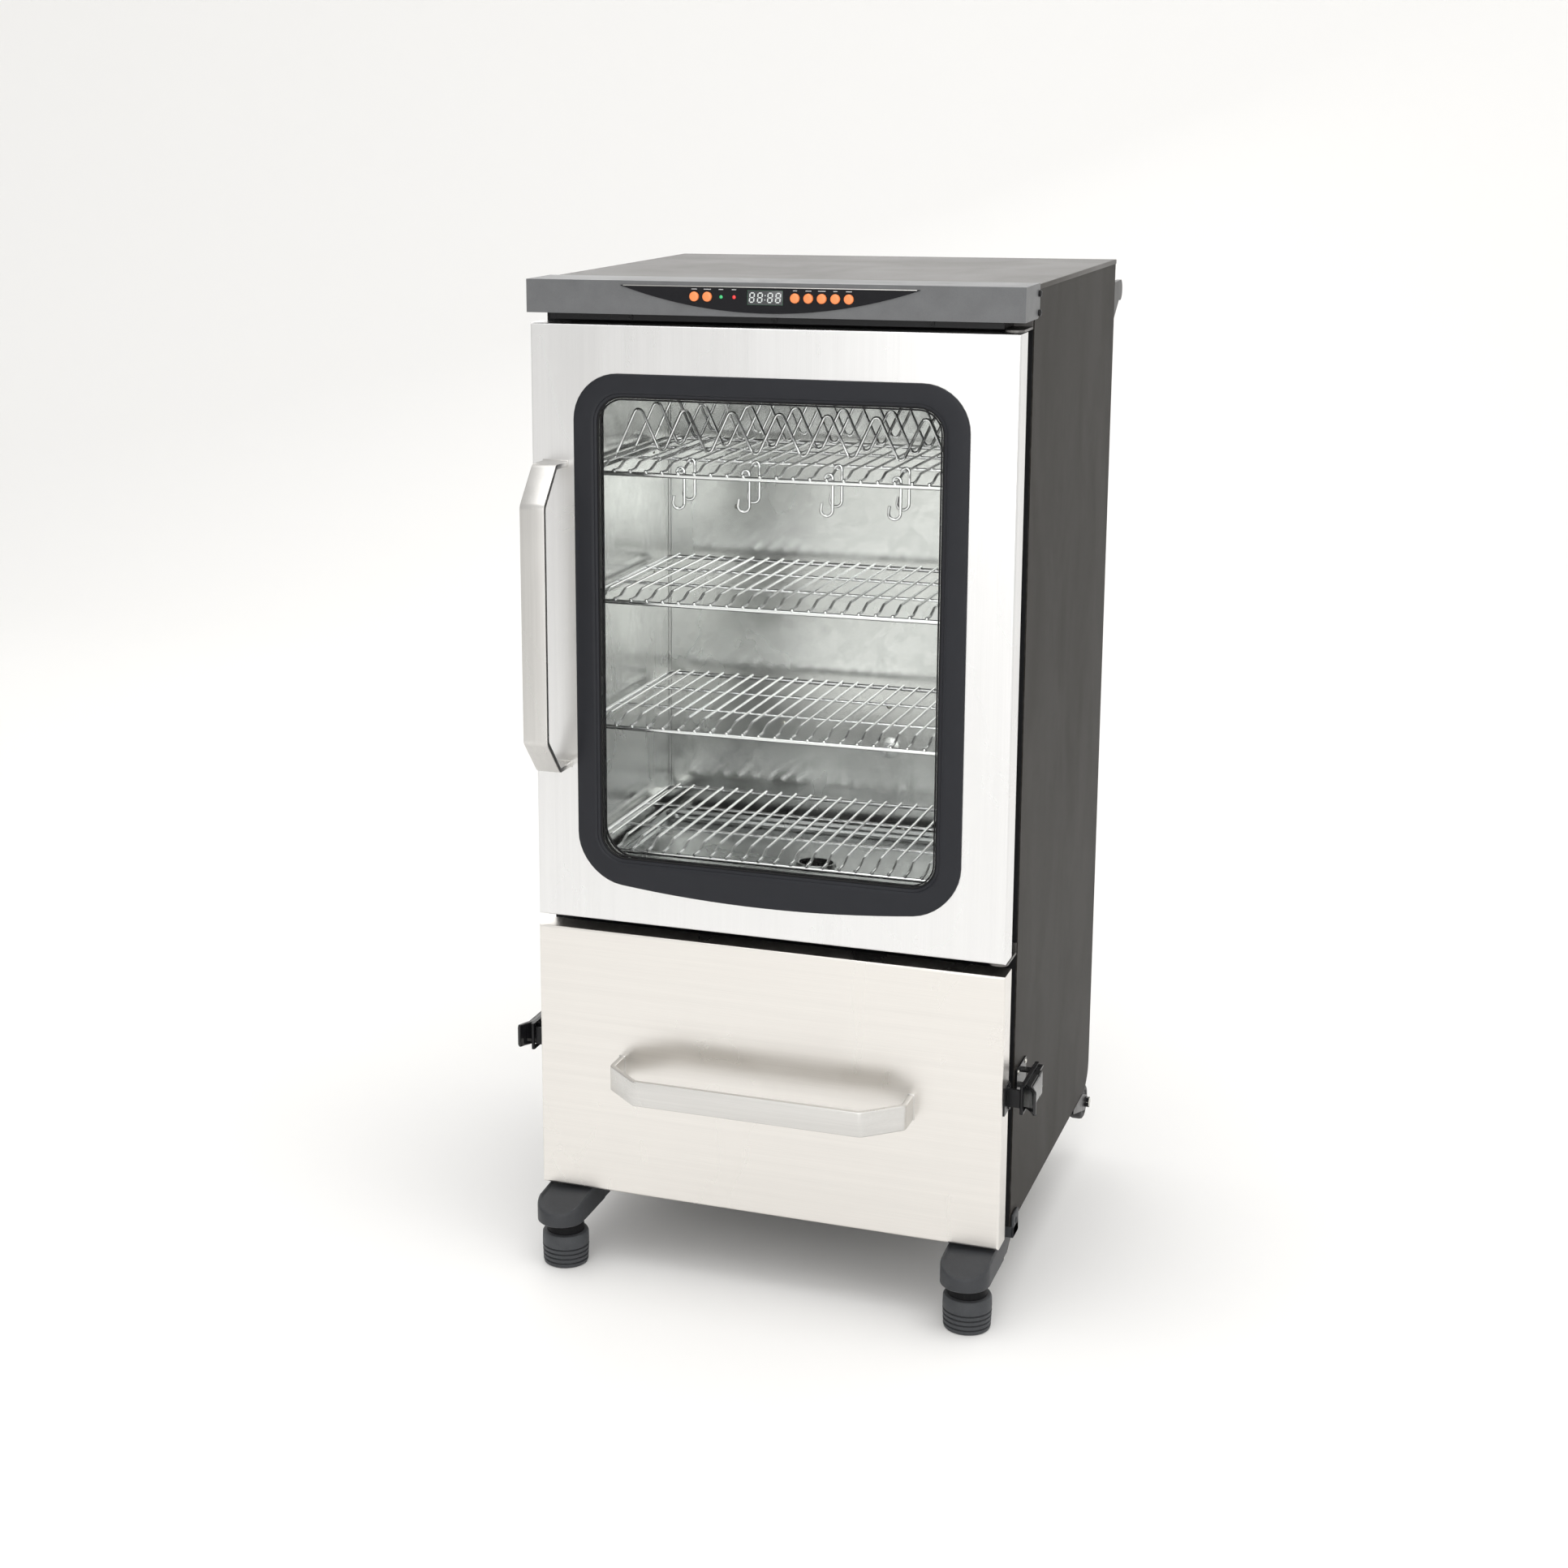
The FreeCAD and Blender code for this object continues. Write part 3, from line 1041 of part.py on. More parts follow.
def vent_sectors(y0, y1):
    """Three sector openings in the vent face."""
    z = CAB_Z1 - VENT_DROP
    sectors = []
    for i in range(3):
        band = Part.makeCylinder(VENT_R - 5, y1 - y0, V(0, 0, 0), V(0, 0, 1), 58)
        band = band.cut(Part.makeCylinder(10, y1 - y0, V(0, 0, 0), V(0, 0, 1), 360))
        band.rotate(V(0, 0, 0), V(0, 0, 1), 120 * i)
        band.rotate(V(0, 0, 0), V(1, 0, 0), -90)
        band.translate(V(VENT_X, y0, z))
        sectors.append(band)
    return Part.makeCompound(sectors)


def vent_duct():
    """Tube through the back wall with a slotted face and the damper pin."""
    z = CAB_Z1 - VENT_DROP
    tube = rod((VENT_X, ROOM_Y1, z), (VENT_X, CAB_Y1 + 3, z), VENT_R - 0.3)
    tube = tube.cut(rod((VENT_X, ROOM_Y1 - 1, z), (VENT_X, CAB_Y1 + 1.5, z), VENT_R - 2))
    flange = rod((VENT_X, CAB_Y1, z), (VENT_X, CAB_Y1 + 3, z), VENT_FLANGE_R)
    flange = flange.cut(rod((VENT_X, CAB_Y1 - 1, z), (VENT_X, CAB_Y1 + 1.5, z), VENT_R - 2))
    pin = rod((VENT_X, CAB_Y1 + 2, z), (VENT_X, CAB_Y1 + 6, z), 3)
    head = rod((VENT_X, CAB_Y1 + 5.4, z), (VENT_X, CAB_Y1 + 7, z), 6)
    return fuse(tube, flange, pin, head).cut(vent_sectors(CAB_Y1 + 1, CAB_Y1 + 3.5))


def vent_damper():
    """Rotary disc with matching sectors and a finger tab."""
    z = CAB_Z1 - VENT_DROP
    y0 = CAB_Y1 + 3.3
    disc = rod((VENT_X, y0, z), (VENT_X, y0 + DAMPER_T, z), VENT_FLANGE_R - 4)
    tab = box(VENT_X - 7, VENT_X + 7, y0, y0 + DAMPER_T, z, z + VENT_FLANGE_R + 8)
    knob = box(VENT_X - 7, VENT_X + 7, y0, y0 + 11, z + VENT_FLANGE_R + 6.5, z + VENT_FLANGE_R + 8)
    bore = rod((VENT_X, y0 - 1, z), (VENT_X, y0 + 5, z), 3 + PIN_FIT)
    return fuse(disc, tab, knob).cut(bore).cut(vent_sectors(y0 - 1, y0 + DAMPER_T + 1))


def power_inlet():
    """Mains inlet: flange, body and socket with three blades."""
    z = CAB_Z0 + INLET_Z
    flange = inlet_hole(CAB_Y1, CAB_Y1 + 2.5, 6)
    body = inlet_hole(CAB_Y1 - 28, CAB_Y1 + 2.5, -0.5)
    socket = inlet_hole(CAB_Y1 - 18, CAB_Y1 + 3, -7)
    blades = [box(INLET_X + dx - 1, INLET_X + dx + 1, CAB_Y1 - 19, CAB_Y1 - 3, z + dz - 2.5, z + dz + 2.5)
              for dx, dz in ((-9, -3), (9, -3), (0, 4))]
    return fuse(fuse(flange, body).cut(socket), *blades)


def build_back():
    """Grip, vent, damper and inlet."""
    add("rear_handle", rear_handle())
    add("vent_duct", vent_duct())
    add("vent_damper", vent_damper())
    add("power_inlet", power_inlet())


# ---------------------------------------------------------------- whole model
def main():
    """Build every piece and write one STEP file for each."""
    build_cabinet()
    build_chamber()
    build_head()
    build_hinges()
    build_door()
    build_drawer()
    build_latches()
    build_support()
    build_back()
    for name, shape in PARTS.items():
        shape.exportStep(f"parts/{name}.step")
    print(len(PARTS), "pieces, origin shift", ORIGIN_Y)


main()
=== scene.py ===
"""Looks of an electric smoker cabinet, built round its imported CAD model.

Metres, +X to the right of a person facing the door, -Y towards that person, +Z up.
"""

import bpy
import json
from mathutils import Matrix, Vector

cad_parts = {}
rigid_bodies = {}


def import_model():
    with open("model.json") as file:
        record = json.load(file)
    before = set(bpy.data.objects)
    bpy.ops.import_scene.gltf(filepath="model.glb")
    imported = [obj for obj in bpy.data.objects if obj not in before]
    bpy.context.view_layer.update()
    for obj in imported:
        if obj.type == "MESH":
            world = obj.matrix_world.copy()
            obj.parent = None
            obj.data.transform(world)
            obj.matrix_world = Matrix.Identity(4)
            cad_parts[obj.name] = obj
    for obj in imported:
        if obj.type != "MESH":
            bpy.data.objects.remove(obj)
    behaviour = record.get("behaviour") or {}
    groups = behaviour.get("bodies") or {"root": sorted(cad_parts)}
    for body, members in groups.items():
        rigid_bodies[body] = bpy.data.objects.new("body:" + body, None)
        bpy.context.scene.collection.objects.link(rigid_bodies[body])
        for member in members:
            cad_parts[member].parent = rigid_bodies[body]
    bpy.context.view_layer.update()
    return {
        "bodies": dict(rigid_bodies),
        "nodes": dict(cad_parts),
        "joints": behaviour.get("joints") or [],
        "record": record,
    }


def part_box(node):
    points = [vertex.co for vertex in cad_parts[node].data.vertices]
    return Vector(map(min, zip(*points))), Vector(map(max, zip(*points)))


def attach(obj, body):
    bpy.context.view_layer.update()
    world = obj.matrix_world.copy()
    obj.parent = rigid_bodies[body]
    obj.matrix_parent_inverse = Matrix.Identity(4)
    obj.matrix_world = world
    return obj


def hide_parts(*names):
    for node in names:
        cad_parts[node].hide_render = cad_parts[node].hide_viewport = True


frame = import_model()

import json
import logging
import math
from dataclasses import dataclass
from enum import Enum
from typing import Callable, Iterable, Sequence

import bmesh
import bpy
from mathutils import Matrix, Vector

MM = 0.001
RGB = tuple[float, float, float]
Triple = tuple[float, float, float]
log = logging.getLogger("smoker")


# ---------------------------------------------------------------- shapes
@dataclass
class Shape:
    """Points and faces of a mesh that isn't an object yet."""

    points: list[Vector]
    faces: list[tuple[int, ...]]

    def join(self, *others: "Shape") -> "Shape":
        """This shape and others as one.

        Args:
            others: Shapes to add.

        Returns:
            A new shape that holds them all.
        """
        points, faces = list(self.points), list(self.faces)
        for other in others:
            shift = len(points)
            points += other.points
            faces += [tuple(i + shift for i in face) for face in other.faces]
        return Shape(points, faces)

    def moved(self, offset: Sequence[float]) -> "Shape":
        """A copy moved by an offset."""
        return Shape([p + Vector(offset) for p in self.points], self.faces)

    def turned(self, matrix: Matrix) -> "Shape":
        """A copy put through a rotation."""
        return Shape([matrix @ p for p in self.points], self.faces)

    def mirrored(self) -> "Shape":
        """The left-hand copy of a right-hand shape."""
        points = [Vector((-p.x, p.y, p.z)) for p in self.points]
        return Shape(points, [face[::-1] for face in self.faces])


def joined(shapes: Iterable[Shape]) -> Shape:
    """Several shapes as one."""
    return Shape([], []).join(*shapes)


def from_bmesh(mesh: bmesh.types.BMesh) -> Shape:
    """Takes the points and faces out of a bmesh and frees it."""
    mesh.verts.index_update()
    shape = Shape([v.co.copy() for v in mesh.verts], [tuple(v.index for v in f.verts) for f in mesh.faces])
    mesh.free()
    return shape


def bevelled(mesh: bmesh.types.BMesh, radius: float, steps: int) -> None:
    """Rounds the sharp edges of a bmesh in place.

    Args:
        mesh: What to round.
        radius: Width of the rounding.
        steps: Segments across it.
    """
    bmesh.ops.recalc_face_normals(mesh, faces=mesh.faces)
    edges = [e for e in mesh.edges if len(e.link_faces) == 2 and e.calc_face_angle(0) > math.radians(25)]
    bmesh.ops.bevel(mesh, geom=edges, offset=radius, segments=steps, profile=0.5, affect="EDGES",
                    clamp_overlap=True)


def block(low: Sequence[float], high: Sequence[float], radius: float = 0.0004, steps: int = 2) -> Shape:
    """Box with rounded edges.

    Args:
        low: Lowest corner.
        high: Highest corner.
        radius: Edge radius.
        steps: Segments across an edge.

    Returns:
        The box.
    """
    low, high = Vector(low), Vector(high)
    mesh = bmesh.new()
    bmesh.ops.create_cube(mesh, size=1)
    for vertex in mesh.verts:
        vertex.co = Vector((low[k] if vertex.co[k] < 0 else high[k]) for k in range(3))
    bevelled(mesh, radius, steps)
    return from_bmesh(mesh)


def prism(outline: Sequence[Sequence[float]], depth: Sequence[float], radius: float = 0.0004,
          steps: int = 2) -> Shape:
    """Flat outline pushed along a vector, with rounded edges.

    Args:
        outline: Corner points in space, all in one plane.
        depth: Push vector.
        radius: Edge radius, or 0 for none.
        steps: Segments across an edge.

    Returns:
        The solid.
    """
    mesh = bmesh.new()
    base = [mesh.verts.new(p) for p in outline]
    face = mesh.faces.new(base)
    pushed = bmesh.ops.extrude_face_region(mesh, geom=[face])
    tops = [g for g in pushed["geom"] if isinstance(g, bmesh.types.BMVert)]
    bmesh.ops.translate(mesh, verts=tops, vec=Vector(depth))
    if face.is_valid and not any(f is face for f in mesh.faces):
        mesh.faces.new(base)
    bmesh.ops.recalc_face_normals(mesh, faces=mesh.faces)
    if radius > 0:
        bevelled(mesh, radius, steps)
    return from_bmesh(mesh)


def fillet(points: Sequence[Sequence[float]], radius: float, steps: int = 5,
           closed: bool = False) -> list[Vector]:
    """Polyline with its corners replaced by arcs.

    Args:
        points: Corners in order.
        radius: Arc radius, made smaller where a side is too short for it.
        steps: Segments in each arc.
        closed: Whether the last corner joins the first.

    Returns:
        The points of the rounded line.
    """
    corners = [Vector(p) for p in points]
    line: list[Vector] = []
    for i, corner in enumerate(corners):
        if not closed and i in (0, len(corners) - 1):
            line.append(corner)
            continue
        back, on = corners[i - 1] - corner, corners[(i + 1) % len(corners)] - corner
        angle = back.angle(on)
        if angle > math.pi - 0.01:
            line.append(corner)
            continue
        reach = min(radius / math.tan(angle / 2), 0.49 * back.length, 0.49 * on.length)
        way = (back.normalized() + on.normalized()).normalized()
        centre = corner + way * (reach / math.cos(angle / 2))
        start = corner + back.normalized() * reach - centre
        end = corner + on.normalized() * reach - centre
        axis, turn = start.cross(end).normalized(), start.angle(end)
        for k in range(steps + 1):
            line.append(centre + Matrix.Rotation(turn * k / steps, 3, axis) @ start)
    return line


def sweep(path: Sequence[Vector], section: Sequence[tuple[float, float]], closed: bool = False,
          across: Sequence[float] | None = None) -> Shape:
    """Section carried along a path.

    Args:
        path: Points of the path.
        section: Closed outline, as (across, out) pairs.
        closed: Whether the path is a loop.
        across: Fixed direction of the section's first axis, or None to carry it along.

    Returns:
        The solid, with its ends capped if the path is open.
    """
    count, size = len(path), len(section)
    points: list[Vector] = []
    side = Vector(across) if across else None
    for i, spot in enumerate(path):
        before = path[i - 1] if closed or i > 0 else spot
        after = path[(i + 1) % count] if closed or i < count - 1 else spot
        tangent = (after - before).normalized()
        if side is None:
            side = tangent.orthogonal()
        side = (side - tangent * side.dot(tangent)).normalized()
        out = side.cross(tangent)
        points += [spot + side * a + out * b for a, b in section]
    faces: list[tuple[int, ...]] = []
    for i in range(count if closed else count - 1):
        a, b = i * size, (i + 1) % count * size
        faces += [(a + k, a + (k + 1) % size, b + (k + 1) % size, b + k) for k in range(size)]
    if not closed:
        faces += [tuple(range(size))[::-1], tuple(range((count - 1) * size, count * size))]
    return Shape(points, faces)


def circle(radius: float, sides: int = 12) -> list[tuple[float, float]]:
    """Round section of a given radius."""
    turns = [math.tau * k / sides for k in range(sides)]
    return [(radius * math.cos(a), radius * math.sin(a)) for a in turns]


def rounded_rect(half_w: float, half_h: float, radius: float, steps: int = 6) -> list[tuple[float, float]]:
    """Rectangle with round corners, anticlockwise from its lower right corner.

    Args:
        half_w: Half its width.
        half_h: Half its height.
        radius: Corner radius.
        steps: Segments in each corner.

    Returns:
        The outline, always with the same number of points for the same steps.
    """
    outline = []
    for k, (sx, sy) in enumerate(((1, -1), (1, 1), (-1, 1), (-1, -1))):
        for j in range(steps + 1):
            a = math.pi / 2 * (k - 1 + j / steps)
            outline.append((sx * (half_w - radius) + radius * math.cos(a),
                            sy * (half_h - radius) + radius * math.sin(a)))
    return outline


def tube(points: Sequence[Sequence[float]], radius: float, bend: float = 0.0, sides: int = 10,
         closed: bool = False, steps: int = 5) -> Shape:
    """Round wire or tube through corner points.

    Args:
        points: Corners of its centreline.
        radius: Wire radius.
        bend: Bend radius at the corners.
        sides: Faces round the wire.
        closed: Whether the wire is a loop.
        steps: Segments in each bend.

    Returns:
        The wire.
    """
    path = fillet(points, bend, steps, closed) if bend > 0 else [Vector(p) for p in points]
    return sweep(path, circle(radius, sides), closed)


def lathe(profile: Sequence[tuple[float, float]], base: Sequence[float], axis: Sequence[float],
          sides: int = 40) -> Shape:
    """Profile turned about an axis.

    Args:
        profile: (radius, height) pairs, where a radius of 0 ends on the axis.
        base: Point on the axis at height 0.
        axis: Direction of height.
        sides: Faces round the axis.

    Returns:
        The turned solid.
    """
    way = Vector(axis).normalized()
    side = way.orthogonal().normalized()
    out = way.cross(side)
    origin = Vector(base)
    rings = []
    for radius, height in profile:
        r = max(radius, 1e-6)
        rings.append([origin + way * height + side * (r * math.cos(a)) + out * (r * math.sin(a))
                      for a in (math.tau * k / sides for k in range(sides))])
    return loft(rings)


def loft(rings: Sequence[Sequence[Vector]], loop: bool = False) -> Shape:
    """Skin through rings that all have the same number of points.

    Args:
        rings: Closed rings in order.
        loop: Whether the last ring joins the first, instead of both being capped.

    Returns:
        The skinned solid.
    """
    size, count = len(rings[0]), len(rings)
    points = [p.copy() for ring in rings for p in ring]
    faces: list[tuple[int, ...]] = []
    for i in range(count if loop else count - 1):
        a, b = i * size, (i + 1) % count * size
        faces += [(a + k, a + (k + 1) % size, b + (k + 1) % size, b + k) for k in range(size)]
    if not loop:
        faces += [tuple(range(size))[::-1], tuple(range((count - 1) * size, count * size))]
    return Shape(points, faces)


def screw_head(spot: Sequence[float], axis: Sequence[float], radius: float = 0.0034) -> Shape:
    """Domed cross-recess screw head on a washer face.

    Args:
        spot: Point on the surface under the head.
        axis: Outward direction.
        radius: Head radius.

    Returns:
        The head.
    """
    r = radius
    dome = [(r, 0), (r, 0.16 * r), (0.9 * r, 0.36 * r), (0.7 * r, 0.5 * r), (0.42 * r, 0.58 * r),
            (0.3 * r, 0.58 * r), (0.22 * r, 0.2 * r), (0, 0.2 * r)]
    head = lathe(dome, spot, axis, 20)
    way = Vector(axis).normalized()
    side = way.orthogonal().normalized()
    ribs = []
    for turn in (0, math.pi / 2):
        line = Matrix.Rotation(turn + math.pi / 4, 3, way) @ side
        middle = Vector(spot) + way * (0.3 * r)
        ribs.append(sweep([middle - line * 0.28 * r, middle + line * 0.28 * r],
                          rounded_rect(0.05 * r, 0.26 * r, 0.02 * r, 1), across=way.cross(line)))
    return joined([head] + ribs)


# ---------------------------------------------------------------- surface effects
class Graph:
    """Adds nodes to a node tree and wires them."""

    def __init__(self, tree: bpy.types.NodeTree) -> None:
        """Keeps the tree to build in."""
        self.tree = tree

    def add(self, kind: str, inputs: dict | None = None, **settings: object) -> bpy.types.Node:
        """One node.

        Args:
            kind: Node type without the ShaderNode prefix.
            inputs: Socket name or number to a value, or to a socket that feeds it.
            settings: Properties of the node.

        Returns:
            The node.
        """
        name = kind if kind.startswith("NodeGroup") else "ShaderNode" + kind
        node = self.tree.nodes.new(name)
        for key, value in settings.items():
            setattr(node, key, value)
        for key, value in (inputs or {}).items():
            if isinstance(value, bpy.types.NodeSocket):
                self.tree.links.new(value, node.inputs[key])
            else:
                node.inputs[key].default_value = value
        return node

    def math(self, operation: str, first: object, second: object = 0.0,
             clamp: bool = False) -> bpy.types.NodeSocket:
        """Result of a two-value sum."""
        return self.add("Math", {0: first, 1: second}, operation=operation, use_clamp=clamp).outputs[0]

    def ranged(self, value: bpy.types.NodeSocket, low: float, high: float, from_low: float = 0.0,
               from_high: float = 1.0) -> bpy.types.NodeSocket:
        """A value carried from one range to another."""
        node = self.add("MapRange", {0: value, 1: from_low, 2: from_high, 3: low, 4: high})
        return node.outputs[0]


class Effect(Enum):
    """Surface effects that several finishes share."""

    BRUSHING = "brushing"
    GRAIN = "grain"
    SPANGLE = "spangle"
    WIPES = "wipe_marks"
    DUST = "settled_dust"
    WEAR_AND_HIGHLIGHT = "edge_wear_and_highlight"


def _brushing(graph: Graph, given: bpy.types.Node) -> dict[str, bpy.types.NodeSocket]:
    """Fine parallel scratches: the Along vector sets how tightly they lie on each axis."""
    place = graph.add("TexCoord").outputs["Object"]
    fine = graph.add("VectorMath", {0: place, 1: given.outputs["Along"]}, operation="MULTIPLY")
    broad = graph.add("VectorMath", {0: fine.outputs[0], 1: (0.13, 0.13, 0.13)}, operation="MULTIPLY")
    hair = graph.add("TexNoise", {"Vector": fine.outputs[0], "Scale": 1.0, "Detail": 3.0, "Roughness": 0.65})
    band = graph.add("TexNoise", {"Vector": broad.outputs[0], "Scale": 1.0, "Detail": 2.0})
    mixed = graph.math("ADD", graph.math("MULTIPLY", hair.outputs[0], 0.6),
                       graph.math("MULTIPLY", band.outputs[0], 0.4))
    return {"Tone": graph.ranged(mixed, 0.0, 1.0, 0.3, 0.7), "Height": hair.outputs[0]}


def _grain(graph: Graph, given: bpy.types.Node) -> dict[str, bpy.types.NodeSocket]:
    """Pebbled moulding or powder-coat texture."""
    place = graph.add("TexCoord").outputs["Object"]
    fine = graph.add("TexNoise", {"Vector": place, "Scale": given.outputs["Scale"], "Detail": 2.0})
    wide = graph.math("MULTIPLY", given.outputs["Scale"], 0.031)
    cloud = graph.add("TexNoise", {"Vector": place, "Scale": wide, "Detail": 3.0})
    tone = graph.math("ADD", graph.math("MULTIPLY", fine.outputs[0], 0.55),
                      graph.math("MULTIPLY", cloud.outputs[0], 0.45))
    return {"Tone": graph.ranged(tone, 0.0, 1.0, 0.3, 0.7), "Height": fine.outputs[0]}


def _spangle(graph: Graph, given: bpy.types.Node) -> dict[str, bpy.types.NodeSocket]:
    """Crystal facets of zinc-dipped sheet."""
    place = graph.add("TexCoord").outputs["Object"]
    bent = graph.add("TexNoise", {"Vector": place, "Scale": 40.0, "Detail": 2.0})
    shift = graph.add("VectorMath", {0: bent.outputs["Color"], "Scale": 0.012}, operation="SCALE")
    spot = graph.add("VectorMath", {0: place, 1: shift.outputs[0]}, operation="ADD")
    cells = graph.add("TexVoronoi", {"Vector": spot.outputs[0], "Scale": given.outputs["Scale"]})
    shade = graph.add("SeparateColor", {0: cells.outputs["Color"]})
    stains = graph.add("TexNoise", {"Vector": place, "Scale": 7.0, "Detail": 5.0, "Roughness": 0.6})
    tone = graph.math("ADD", graph.math("MULTIPLY", shade.outputs[0], 0.45),
                      graph.math("MULTIPLY", stains.outputs[0], 0.55))
    return {"Tone": tone, "Height": stains.outputs[0]}


def _wipes(graph: Graph, given: bpy.types.Node) -> dict[str, bpy.types.NodeSocket]:
    """Broad smears left by wiping and handling."""
    place = graph.add("TexCoord").outputs["Object"]
    smear = graph.add("VectorMath", {0: place, 1: (1.0, 1.0, 0.45)}, operation="MULTIPLY")
    noise = graph.add("TexNoise", {"Vector": smear.outputs[0], "Scale": given.outputs["Scale"], "Detail": 4.0,
                                   "Roughness": 0.55, "Distortion": 0.8})
    return {"Tone": graph.ranged(noise.outputs[0], 0.0, 1.0, 0.35, 0.68)}


def _dust(graph: Graph, given: bpy.types.Node) -> dict[str, bpy.types.NodeSocket]:
    """Thin dust that lies on faces that look up."""
    shape = graph.add("NewGeometry")
    up = graph.add("SeparateXYZ", {0: shape.outputs["Normal"]}).outputs[2]
    place = graph.add("TexCoord").outputs["Object"]
    noise = graph.add("TexNoise", {"Vector": place, "Scale": 34.0, "Detail": 6.0, "Roughness": 0.7})
    lying = graph.ranged(up, 0.0, 1.0, 0.55, 1.0)
    patchy = graph.math("MULTIPLY", lying, noise.outputs[0])
    return {"Mask": graph.math("MULTIPLY", patchy, given.outputs["Amount"], clamp=True)}


def _edge_wear_and_highlight(graph: Graph, given: bpy.types.Node) -> dict[str, bpy.types.NodeSocket]:
    """Rounded edge normal, and a mask on the edges that stands both for rubbed wear and for a painted edge
    highlight.
    """
    soft = graph.add("Bevel", {"Radius": given.outputs["Radius"]}, samples=4)
    hard = graph.add("NewGeometry").outputs["Normal"]
    match = graph.add("VectorMath", {0: soft.outputs[0], 1: hard}, operation="DOT_PRODUCT").outputs["Value"]
    place = graph.add("TexCoord").outputs["Object"]
    noise = graph.add("TexNoise", {"Vector": place, "Scale": 120.0, "Detail": 4.0})
    edge = graph.ranged(graph.math("SUBTRACT", 1.0, match), 0.0, 1.0, 0.02, 0.25)
    rubbed_and_lit = graph.math("MULTIPLY", edge, graph.ranged(noise.outputs[0], 0.0, 1.0, 0.42, 0.7))
    return {"Mask": graph.math("MULTIPLY", rubbed_and_lit, given.outputs["Amount"], clamp=True),
            "Normal": soft.outputs[0]}


Builder = Callable[[Graph, bpy.types.Node], dict[str, bpy.types.NodeSocket]]
RECIPES: dict[Effect, tuple[Builder, dict[str, object]]] = {
    Effect.BRUSHING: (_brushing, {"Along": (10.0, 10.0, 10.0)}),
    Effect.GRAIN: (_grain, {"Scale": 900.0}),
    Effect.SPANGLE: (_spangle, {"Scale": 60.0}),
    Effect.WIPES: (_wipes, {"Scale": 9.0}),
    Effect.DUST: (_dust, {"Amount": 0.2}),
    Effect.WEAR_AND_HIGHLIGHT: (_edge_wear_and_highlight, {"Radius": 0.0008, "Amount": 0.3}),
}


def effect_group(effect: Effect) -> bpy.types.NodeTree:
    """The node group of an effect, built on first use.

    Args:
        effect: Which one.

    Returns:
        The group.
    """
    if effect.value in bpy.data.node_groups:
        return bpy.data.node_groups[effect.value]
    build, defaults = RECIPES[effect]
    tree = bpy.data.node_groups.new(effect.value, "ShaderNodeTree")
    for name, value in defaults.items():
        kind = "NodeSocketVector" if isinstance(value, tuple) else "NodeSocketFloat"
        tree.interface.new_socket(name=name, in_out="INPUT", socket_type=kind).default_value = value
    graph = Graph(tree)
    given = graph.add("NodeGroupInput")
    results = build(graph, given)
    for name in results:
        kind = "NodeSocketVector" if name == "Normal" else "NodeSocketFloat"
        tree.interface.new_socket(name=name, in_out="OUTPUT", socket_type=kind)
    graph.add("NodeGroupOutput", results)
    return tree


# ---------------------------------------------------------------- finishes
class Texture(Enum):
    """How a surface was made."""

    BRUSHED = Effect.BRUSHING
    GRAINED = Effect.GRAIN
    SPANGLED = Effect.SPANGLE


